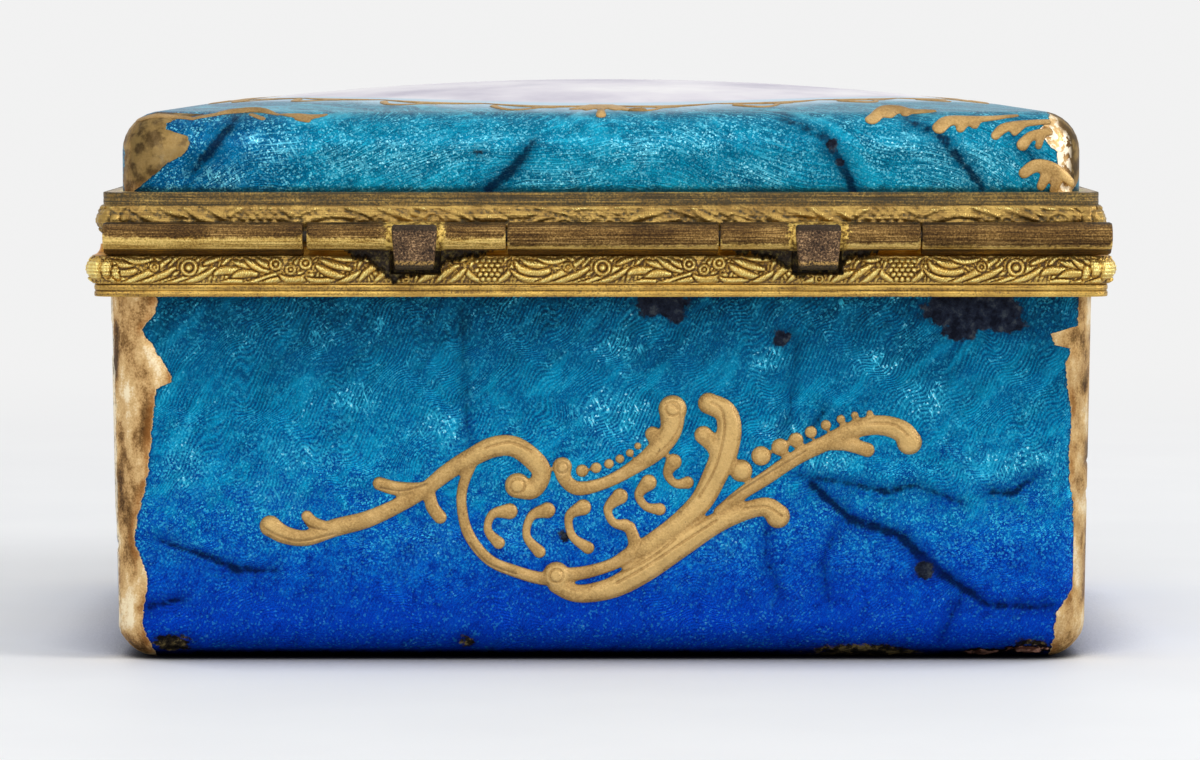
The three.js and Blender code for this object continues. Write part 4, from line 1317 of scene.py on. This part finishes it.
def wornBrassLook():
    look = Look("wornBrass")
    drag = look.noise(1.0, 4, place=look.stretch((0.1, 7.0, 7.0)), rough=0.75)
    grain = look.noise(0.18, 3, rough=0.75)
    nicks = look.noise(0.45, 3, rough=0.7)
    patches = look.noise(4.5, 3)
    tone = drag * 0.45 + patches * 0.2 + grain * 0.35
    brown = look.ramp(tone, [(0.42, 48, 30, 12), (0.48, 88, 63, 30), (0.53, 118, 88, 44), (0.6, 184, 148, 88)])
    # painted reflection: below the axis the barrel turns golden, higher near its ends
    below = hinge.z / mm - look.z
    floorReflection = look.fade(below + (nicks * 0.9 - 0.45) + look.attribute("bright"), 0.6, 0.95)
    gold = look.ramp(tone, [(0.41, 126, 92, 34), (0.48, 190, 154, 78), (0.56, 240, 208, 126)])
    # painted shade and warm reflected light on the foot under the barrel
    foot = look.fade(hinge.z / mm - 1.26 - look.z, -0.05, 0.08)
    floorReflection = floorReflection * (1.0 - foot)
    shade = look.blend(floorReflection, brown, gold)
    footPaintedShade = look.ramp(tone, [(0.42, 30, 16, 2), (0.52, 80, 50, 8), (0.62, 164, 118, 32)])
    shade = look.blend(foot, shade, footPaintedShade)
    # painted shade and dirt along the top, under the lid's mount, in patches
    gap = look.fade(look.noise(3.4, 2, place=look.stretch((1, 0.1, 0.1))), 0.44, 0.56, 0.45, 0.95)
    top = look.fade(nicks * 0.4 + (look.z - (hinge.z / mm + 1.3)), 0.0, 0.25)
    shade = look.blend(top * gap, shade, colour(22, 16, 10))
    solder = look.fade(look.attribute("solder") + (nicks - 0.5), 0.36, 0.56)
    solderShade = look.ramp(nicks, [(0.4, 96, 70, 28), (0.5, 180, 144, 66), (0.6, 226, 192, 104)])
    shade = look.blend(solder, shade, solderShade)
    return look.surface({"Base Color": shade, "Roughness": tone * 0.3 + 0.25, "Metallic": 0.85,
                         "Normal": look.bump(drag + grain * 0.6, 0.1)})


block = {"bevel": 0.22, "back": 1.05, "rough": 0.07, "voxel": 0.14}


def makeStop(name, node):
    low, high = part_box(node)
    low = Vector((low.x, hinge.y + block["back"] * mm, low.z))
    piece = box(low, high)
    edit(piece)
    bpy.ops.mesh.select_all(action="SELECT")
    bpy.ops.mesh.bevel(offset=block["bevel"] * mm, segments=3, affect="EDGES")
    pick(piece, "VERT", lambda v: v.co.z < low.z + 0.6 * mm and v.co.y > high.y - 0.7 * mm)
    bpy.ops.transform.translate(value=(0, -0.25 * mm, 0.05 * mm))
    editDone()
    evenSkin(piece, block["voxel"], 3)
    points = readPoints(piece)
    x, y, z = (points / mm).T
    bumps = np.sin(x * 5.1 + z * 3.3) * np.sin(z * 6.7 - x * 2.1) + 0.6 * np.sin(x * 13 + 1) * np.sin(z * 11)
    front = y > high.y / mm - 0.5
    points[:, 1] -= np.where(front, (bumps + 1.6) * block["rough"] * 0.4, 0) * mm
    # narrower and rounder towards the bottom
    taper = np.clip((high.z / mm - 0.9 - z) / 4, 0, 1)
    middle = (low.x + high.x) / 2
    points[:, 0] = middle + (points[:, 0] - middle) * (1 - 0.16 * taper)
    writePoints(piece, points)
    finishPiece(piece, name, (blockLook,), 60, "lid", "worn_brass", node)


def blockBrassLook():
    look = Look("filedBlock")
    grain = look.noise(0.2, 4, rough=0.75)
    patches = look.noise(1.6, 3)
    tone = grain * 0.75 + patches * 0.25
    shade = look.ramp(tone, [(0.42, 34, 22, 14), (0.48, 80, 58, 38), (0.54, 106, 80, 54),
                             (0.62, 186, 150, 108)])
    # painted shade: the block's top face is darker
    edge = (patches - 0.5) * 0.5 + look.z
    top = look.fade(edge - (hinge.z / mm + 0.55), 0.0, 0.15)
    shade = look.blend(top * 0.85, shade, colour(48, 38, 26))
    down = hinge.z / mm - 2.3 - edge
    rim = look.fade(down, 0.0, 0.25) * look.fade(grain, 0.42, 0.56)
    shade = look.blend(rim * 0.7, shade, colour(196, 158, 84))
    # painted shade and old dirt on the end that stands in the hollow
    shade = look.blend(look.fade(down, 0.35, 0.6) * 0.9, shade, colour(34, 27, 18))
    return look.surface({"Base Color": shade, "Roughness": 0.45, "Metallic": 0.6,
                         "Normal": look.bump(grain, 0.14)})


def makeHinge():
    print("hinge")
    for place, lower in (("outer_left", True), ("lid_left", False), ("centre", True),
                         ("lid_right", False), ("outer_right", True)):
        makeKnuckle("knuckle" + place.title().replace("_", ""), "knuckle_" + place, lower)
    makeStop("stopBlockLeft", "stop_block_left")
    makeStop("stopBlockRight", "stop_block_right")


# Raised gold scrolls. Points are mm across to the right and up, as seen from outside, then the half width.

scroll = {
    "voxel": 0.135, "hiddenVoxel": 0.2, "keep": 0.55, "sink": 0.12, "endSize": 0.78, "dents": 0.015,
    # fine lines pressed into the paste: across, up
    "grooves": [
        [(-34.0, 13.5), (-32.4, 12.6), (-30.2, 12.1), (-27.0, 12.8)],
        [(-30.4, 14.4), (-29.4, 13.6), (-27.6, 13.2)],
        [(-22.2, 17.5), (-19.9, 17.2), (-17.5, 17.9)], [(-11.6, 21.5), (-9.2, 22.1), (-7.0, 21.2)],
        [(6.4, 26.0), (7.6, 25.6), (7.9, 23.9), (7.1, 22.3), (5.6, 20.8)],
        [(11.1, 26.1), (12.1, 25.4), (12.4, 23.6), (12.0, 21.2), (11.2, 18.9), (9.8, 16.5)],
        [(0.4, 8.7), (2.9, 9.3), (5.4, 10.7), (7.4, 12.3)], [(1.6, 7.9), (4.6, 9.6), (8.2, 12.0), (11.6, 14.2)],
        [(14.4, 15.4), (16.6, 15.6), (18.2, 14.7)], [(27.0, 24.0), (29.4, 23.9), (30.8, 22.8)],
        [(12.8, 16.4), (16.4, 18.7), (20.6, 21.2)], [(-13.2, 11.9), (-11.4, 9.9), (-8.6, 8.8)],
    ],
    "rings": [(-8.4, 17.7, 0.75), (-3.9, 19.5, 0.55), (-4.5, 8.6, 0.7), (7.2, 25.5, 0.7)],
    "grooveWide": 0.1, "grooveDeep": 0.11,
    "branches": [
        [(-33.3, 13.6, 1.1), (-31.8, 12.7, 0.95), (-29.6, 12.4, 0.85), (-26.9, 13.4, 0.95), (-23.5, 14.3, 0.9),
         (-20.0, 15.9, 0.8), (-17.7, 17.3, 0.8), (-15.4, 19.1, 0.9), (-13.1, 20.5, 1.0), (-10.8, 21.6, 1.1),
         (-8.6, 21.6, 1.1), (-6.5, 20.0, 1.1), (-6.0, 18.7, 1.0), (-6.9, 17.3, 1.0), (-8.4, 17.6, 1.2)],
        [(-29.6, 14.6, 0.6), (-28.8, 13.8, 0.7), (-26.9, 13.3, 0.6)],
        [(-22.3, 17.9, 0.7), (-20.5, 17.4, 0.75), (-18.0, 17.4, 0.7), (-16.4, 18.2, 0.6)],
        [(-17.3, 17.2, 0.6), (-17.0, 15.6, 0.7), (-16.2, 14.5, 0.7)],
        [(-13.0, 20.0, 0.6), (-13.9, 17.6, 0.55), (-14.0, 15.4, 0.55), (-13.3, 12.7, 0.6), (-11.3, 10.2, 0.6),
         (-8.6, 9.0, 0.65), (-6.0, 8.3, 0.7), (-4.5, 8.5, 0.9)],
        [(-3.9, 19.6, 1.0), (-3.6, 18.3, 0.75), (-2.2, 17.4, 0.75), (0.7, 18.1, 0.65), (3.7, 19.8, 0.8),
         (5.6, 21.3, 1.05), (7.0, 23.2, 1.15), (7.2, 25.4, 1.4)],
        [(5.2, 22.9, 0.8), (5.9, 21.7, 0.8)],
        [(-4.4, 7.7, 1.0), (-3.0, 6.9, 0.95), (-1.2, 6.8, 1.0), (1.5, 7.5, 1.15), (4.4, 9.2, 1.35),
         (8.0, 11.7, 1.35), (11.6, 13.9, 1.1), (14.8, 15.2, 0.95), (16.7, 15.5, 1.05), (17.8, 14.6, 1.25)],
        [(-4.0, 8.6, 0.8), (-1.6, 8.9, 0.7), (1.1, 9.7, 0.65), (3.0, 10.8, 0.8), (4.6, 11.6, 0.9)],
        [(2.9, 13.5, 0.6), (3.4, 11.8, 0.7), (2.9, 10.6, 0.7)],
        [(4.4, 11.4, 1.0), (7.5, 13.6, 1.1), (10.0, 16.0, 1.2), (11.4, 18.6, 1.3), (12.4, 21.0, 1.4),
         (12.9, 23.5, 1.3), (12.4, 25.2, 1.2), (10.8, 26.0, 1.1)],
        [(10.3, 22.8, 0.95), (11.5, 21.6, 0.95), (12.0, 20.0, 0.9)],
        [(12.0, 15.0, 0.7), (14.2, 16.9, 0.7), (16.5, 18.4, 0.75), (19.6, 20.5, 0.8), (22.6, 22.0, 0.85),
         (25.5, 23.4, 0.95), (28.1, 23.8, 1.05), (30.2, 23.2, 1.15), (31.0, 22.1, 1.3)],
        [(22.8, 21.9, 0.7), (24.7, 21.9, 0.75), (26.8, 21.3, 0.75)],
    ],
    "hooks": [
        [(-9.2, 15.1), (-10.9, 14.8), (-11.4, 13.2), (-10.3, 11.9)],
        [(-5.4, 15.2), (-7.0, 14.6), (-7.5, 12.6), (-6.2, 11.0)],
        [(-1.8, 15.5), (-3.2, 14.6), (-2.9, 12.6), (-1.3, 11.4)],
        [(1.9, 16.6), (0.7, 15.4), (1.2, 14.0), (2.4, 13.7)],
        [(4.8, 18.0), (3.8, 16.8), (4.5, 15.6), (5.9, 15.3)],
        [(7.3, 20.1), (6.7, 18.9), (7.5, 17.9), (8.7, 18.0)],
    ],
    "hookWide": [0.84, 0.5, 0.46, 0.66],
    "beads": [(-1.9, 19.2, 0.66), (-0.5, 19.5, 0.58), (0.8, 19.9, 0.52), (1.9, 20.4, 0.48), (2.9, 21.0, 0.44),
              (3.7, 21.7, 0.4), (14.1, 19.2, 1.16), (16.1, 20.7, 1.02), (18.0, 21.6, 0.9), (19.6, 22.3, 0.78),
              (21.1, 23.1, 0.64), (22.6, 23.8, 0.56), (24.1, 24.4, 0.48), (25.5, 24.8, 0.42), (27.0, 25.0, 0.36)],
    "bosses": [(-4.5, 8.6, 1.4), (-8.4, 17.7, 1.3), (7.2, 25.4, 1.45)],
}


def throughPoints(points, steps=6):
    # a smooth line through given points
    rows = np.array([points[0]] + list(points) + [points[-1]], float)
    line = []
    for k in range(len(rows) - 3):
        a, b, c, d = rows[k:k + 4]
        for t in np.arange(steps) / steps:
            line.append(0.5 * (2 * b + (c - a) * t + (2 * a - 5 * b + 4 * c - d) * t ** 2
                               + (3 * b - a - 3 * c + d) * t ** 3))
    line.append(rows[-2])
    return np.array(line)


def tubeAlong(line):
    # line: places in mm with a radius, laid as a round cord with ball ends
    curve = bpy.data.curves.new("stroke", "CURVE")
    curve.dimensions = "3D"
    curve.bevel_depth = 1.0 * mm
    curve.bevel_resolution = 3
    curve.use_fill_caps = True
    spline = curve.splines.new("POLY")
    spline.points.add(len(line) - 1)
    for point, (x, y, z, r) in zip(spline.points, line):
        point.co = (x * mm, y * mm, z * mm, 1)
        point.radius = r
    made = bpy.data.objects.new("stroke", curve)
    bpy.context.scene.collection.objects.link(made)
    only(made)
    bpy.ops.object.convert(target="MESH")
    parts = [bpy.context.object]
    for x, y, z, r in (line[0], line[-1]):
        parts.append(ball(x, y, z, r))
    return parts


def ball(x, y, z, r):
    bpy.ops.object.select_all(action="DESELECT")
    bpy.ops.mesh.primitive_ico_sphere_add(subdivisions=3, radius=r * mm, location=(x * mm, y * mm, z * mm))
    return settle(bpy.context.object)


def fuse(name, parts, voxel):
    piece = join(name, parts)
    evenSkin(piece, voxel, 4)
    return piece


def scrollStrokes():
    strokes = [throughPoints(points) for points in scroll["branches"]]
    for hook in scroll["hooks"]:
        strokes.append(throughPoints([(u, v, w) for (u, v), w in zip(hook, scroll["hookWide"])]))
    return strokes


def wallScroll(side, size, voxel):
    wall = {"back": bodyHigh.y, "front": -bodyLow.y, "left": -bodyLow.x, "right": bodyHigh.x}[side] / mm
    name = "scroll" + side.capitalize()
    tilt = body["lean"] / (bodyHigh.z / mm)

    def surface(up):
        return wall - body["lean"] + tilt * up

    parts = []
    for stroke in scrollStrokes():
        parts += tubeAlong([(-u * size, surface(v), v, r * (1 if size == 1 else 0.9)) for u, v, r in stroke])
    for u, v, r in scroll["beads"] + scroll["bosses"]:
        parts.append(ball(-u * size, surface(v), v, r))
    piece = fuse(name, parts, voxel)
    x, y, z = (readPoints(piece) / mm).T
    rise = y - surface(z)
    lines = [[(u, v, scroll["grooveWide"]) for u, v in throughPoints(line)] for line in scroll["grooves"]]
    lines += [ringLine(u, v, r, scroll["grooveWide"]) for u, v, r in scroll["rings"]]
    groove = lineDistance(-x / size, z, lines)
    groove = np.clip(groove / scroll["grooveWide"] + 0.6, 0, 1) * (rise > 0.15)
    dents = np.sin(x * 2.3) * np.sin(z * 2.9) + np.sin(x * 5.7 + 1) * np.sin(z * 4.9)
    y = surface(z) + np.where(rise > 0, rise * scroll["keep"], -scroll["sink"])
    y += scroll["dents"] * dents * (rise > 0.2) - groove * scroll["grooveDeep"]
    writePoints(piece, np.stack([*turnedTo(side, x, y), z], 1) * mm)
    # the pressed grooves lower the rise value, so they are painted darker
    writeValues(piece, rise=np.clip(rise * scroll["keep"] / 0.6, 0, 1) - 0.55 * groove)
    finishPiece(piece, name, (goldPaste,), 60, "box", "raised_gold")


def goldPasteLook():
    look = Look("goldPaste")
    rise = look.attribute("rise")
    grain = look.noise(0.22, 3, rough=0.65)
    clouds = look.noise(2.2, 3)
    tone = clouds * 0.5 + grain * 0.5
    shade = look.ramp(tone, [(0.36, 148, 112, 56), (0.5, 180, 142, 80), (0.62, 198, 160, 98)])
    # painted shade along the low edges of the paste
    rim = look.fade(rise, 0.42, 0.0)
    shade = look.blend(rim * 0.6, shade, colour(104, 76, 34))
    # painted highlight on the crests
    crest = look.fade(rise + grain * 0.2, 0.78, 1.08)
    shade = look.blend(crest * 0.45, shade, colour(226, 188, 118))
    pits = look.fade(look.noise(0.6, 3, rough=0.7), 0.35, 0.27)
    shade = look.blend(pits * 0.6, shade, colour(92, 64, 34))
    return look.surface({"Base Color": shade, "Roughness": 0.4, "Metallic": 0.35,
                         "Normal": look.bump(grain + clouds * 0.6, 0.07)})


def makeScrolls():
    print("raised scrolls")
    wallScroll("back", 1.0, scroll["voxel"])
    wallScroll("front", 1.0, scroll["hiddenVoxel"])
    wallScroll("left", scroll["endSize"], scroll["hiddenVoxel"])
    wallScroll("right", scroll["endSize"], scroll["hiddenVoxel"])


# Gold on the lid

def seenOnLid(stroke):
    # a stroke drawn on the hinge side's plane, laid where the lines of sight through it meet the lid, mm
    start = np.array(cameraPlace()[0])
    laid = []
    for across, up, wide in throughPoints(stroke, 5):
        step = np.array([-across, camera["planeY"], up]) - start
        step /= np.linalg.norm(step)
        depth = (start[1] - lidHigh.y / mm) / -step[1]
        for travel in np.arange(0, 60, 0.05):
            spot = start + step * (depth + travel)
            if spot[2] <= lidTop(spot[0], spot[1]):
                break
        laid.append([*spot, wide])
    return np.array(laid)


acanthus = {
    "voxel": 0.16, "keep": 0.3,
    # worn gold leaf along the shoulder beside the gilded corner
    "streaks": [
        [(-46.1, 54.5, 0.4), (-44.4, 54.9, 0.5), (-42.4, 54.8, 0.4), (-40.6, 54.6, 0.3)],
        [(-40.2, 54.7, 0.3), (-37.1, 55.2, 0.45), (-33.9, 55.3, 0.5), (-32.2, 55.0, 0.3)],
        [(-34.8, 55.0, 0.35), (-33.7, 54.6, 0.35)],
        [(-31.5, 55.0, 0.35), (-30.1, 54.9, 0.55), (-28.8, 54.8, 0.5), (-27.4, 55.0, 0.25)],
        [(-30.2, 54.6, 0.4), (-29.2, 54.4, 0.35)],
    ],
    # as seen from behind on the right-hand corner: across, up, half width
    "leaves": [
        [(27.0, 54.5, 0.75), (28.0, 55.2, 0.8), (29.6, 55.3, 0.7), (31.0, 55.2, 0.5), (33.2, 55.3, 0.3)],
        [(28.7, 54.9, 0.55), (29.4, 55.3, 0.5)], [(30.3, 55.0, 0.45), (31.0, 55.3, 0.4)],
        [(33.7, 53.7, 0.75), (34.6, 54.4, 0.8), (36.4, 54.5, 0.7), (38.4, 54.6, 0.5), (41.4, 54.9, 0.3)],
        [(35.8, 53.6, 0.5), (36.2, 54.2, 0.6)], [(37.2, 53.9, 0.45), (37.6, 54.4, 0.4)],
        [(39.3, 52.9, 0.5), (40.2, 53.7, 0.6), (42.0, 54.1, 0.5), (44.5, 54.3, 0.4)],
        [(41.2, 53.2, 0.4), (42.0, 53.9, 0.4)],
        [(42.0, 52.0, 0.65), (42.9, 52.9, 0.55), (44.6, 53.3, 0.5)],
        [(43.6, 51.9, 0.4), (43.9, 52.8, 0.4)],
        [(42.2, 49.2, 0.6), (43.3, 49.9, 0.7), (44.8, 49.7, 0.7), (46.4, 48.9, 0.6), (47.6, 48.2, 0.5)],
        [(43.9, 47.9, 0.5), (44.3, 48.7, 0.6)], [(45.2, 47.5, 0.5), (45.6, 48.4, 0.6)],
    ],
}

ringBorder = {"voxel": 0.2, "keep": 0.35, "scrollWide": 0.45, "lineWide": 0.32, "count": 20}


def pressOnLid(points, keep):
    # flattens a lump of strokes onto the lid's rounded surface
    edge = lid["edge"]
    x, y, z = points.T
    outX = np.sign(x) * np.maximum(np.abs(x) - lidFlatX, 0)
    outY = np.sign(y) * np.maximum(np.abs(y) - lidFlatY, 0)
    onSide = (np.abs(x) > lidFlatX) | (np.abs(y) > lidFlatY)
    below = np.minimum(z - (lidShoulder / mm - edge), edge)
    ring = np.stack([outX, outY, np.maximum(below, 0)], 1)
    away = np.linalg.norm(ring, axis=1)
    direction = np.where(onSide[:, None], ring / np.maximum(away, 1e-6)[:, None], np.array([0, 0, 1.0]))
    rise = np.where(onSide, away - edge, z - lidTop(x, y))
    wanted = np.where(rise > 0, rise * keep, -0.1)
    return points + direction * (wanted - rise)[:, None], np.clip(wanted / 0.35, 0, 1)


def goldOnLid(name, lines, voxel, keep):
    parts = []
    for line in lines:
        parts += tubeAlong(line)
    piece = fuse(name, parts, voxel)
    points, rise = pressOnLid(readPoints(piece) / mm, keep)
    writePoints(piece, points * mm)
    writeValues(piece, rise=rise)
    finishPiece(piece, name, (goldPaste,), 60, "lid", "raised_gold")


def makeLidGold():
    print("gold on the lid")
    corner = [seenOnLid(leaf) for leaf in acanthus["leaves"]]
    for name, signX, signY in (("acanthusBackLeft", 1, 1), ("acanthusFrontLeft", 1, -1),
                               ("acanthusFrontRight", -1, -1)):
        goldOnLid(name, [line * (signX, signY, 1, 1) for line in corner], acanthus["voxel"], acanthus["keep"])
    worn = [seenOnLid(leaf) for leaf in acanthus["streaks"]]
    goldOnLid("goldLeafBackRight", worn, acanthus["voxel"], acanthus["keep"] * 0.6)

    # bows round the field, each with a curl outside it
    fieldX, fieldY = lid["field"]
    flat = []
    for k in range(ringBorder["count"]):
        bow, curl = [], []
        for t in np.linspace(0, 1, 9):
            arch = math.sin(math.pi * t)
            rise = 0.06 * math.sin(math.pi * min(t * 1.3, 1)) * (1 - 0.25 * t)
            for line, turn, swell, wide in (
                    (bow, t, 1 + 0.035 * arch, ringBorder["lineWide"] * (0.8 + 0.7 * arch)),
                    (curl, 0.12 + 0.5 * t, 1.05 + rise, ringBorder["scrollWide"] * (1.1 - 0.6 * t))):
                angle = 2 * math.pi / ringBorder["count"] * (k + turn)
                line.append((fieldX * swell * math.cos(angle), fieldY * swell * math.sin(angle), wide))
        flat += [bow, curl]
    # a spray of leaves at the middle of each long side
    spray = [([(o * 0.4, 29.2, 0.5), (o * 0.8, 30.6, 0.5), (o * 1.15, 31.8 - abs(o) * 0.35, 0.35)], 4)
             for o in (-2.6, -1.3, 0, 1.3, 2.6)]
    spray.append(([(0, 32.6, 0.45), (0, 33.6, 0.6)], 3))
    for sign in (1, -1):
        flat += [[(x, sign * y, w) for x, y, w in throughPoints(leaf, steps)] for leaf, steps in spray]
    lines = [np.array([(x, y, float(lidTop(x, y)), w) for x, y, w in line]) for line in flat]
    goldOnLid("fieldBorder", lines, ringBorder["voxel"], ringBorder["keep"])


# Small parts whose shapes stay as the frame has them

def plainMetalLook(name, stops, metallic, rough):
    look = Look(name)
    grain = look.noise(0.5, 3)
    clouds = look.noise(5, 3)
    tone = clouds * 0.6 + grain * 0.4
    return look.surface({"Base Color": look.ramp(tone, stops), "Roughness": rough, "Metallic": metallic,
                         "Normal": look.bump(grain, 0.03)})


def makeSmallParts():
    print("small parts")
    # the pin is dark brown all over: painted shade for where it shows in the hinge's slits
    steel = plainMetalLook("pinSteel", [(0.4, 30, 24, 18), (0.6, 64, 54, 42)], 0.6, 0.5)
    gilt = plainMetalLook("bezelGilt", [(0.38, 150, 114, 52), (0.62, 214, 176, 92)], 0.85, 0.32)
    for name, look in (("hinge_pin", steel), ("lid_bezel", gilt), ("thumb_piece", gilt)):
        materials = nodes[name].data.materials
        materials.clear()
        materials.append(look)


makeCamera()
makeStage()
makeBody()
makeLid()
makeMounts()
wornBrass = wornBrassLook()
blockLook = blockBrassLook()
makeHinge()
goldPaste = goldPasteLook()
makeScrolls()
makeLidGold()
makeSmallParts()

print("all pieces made")
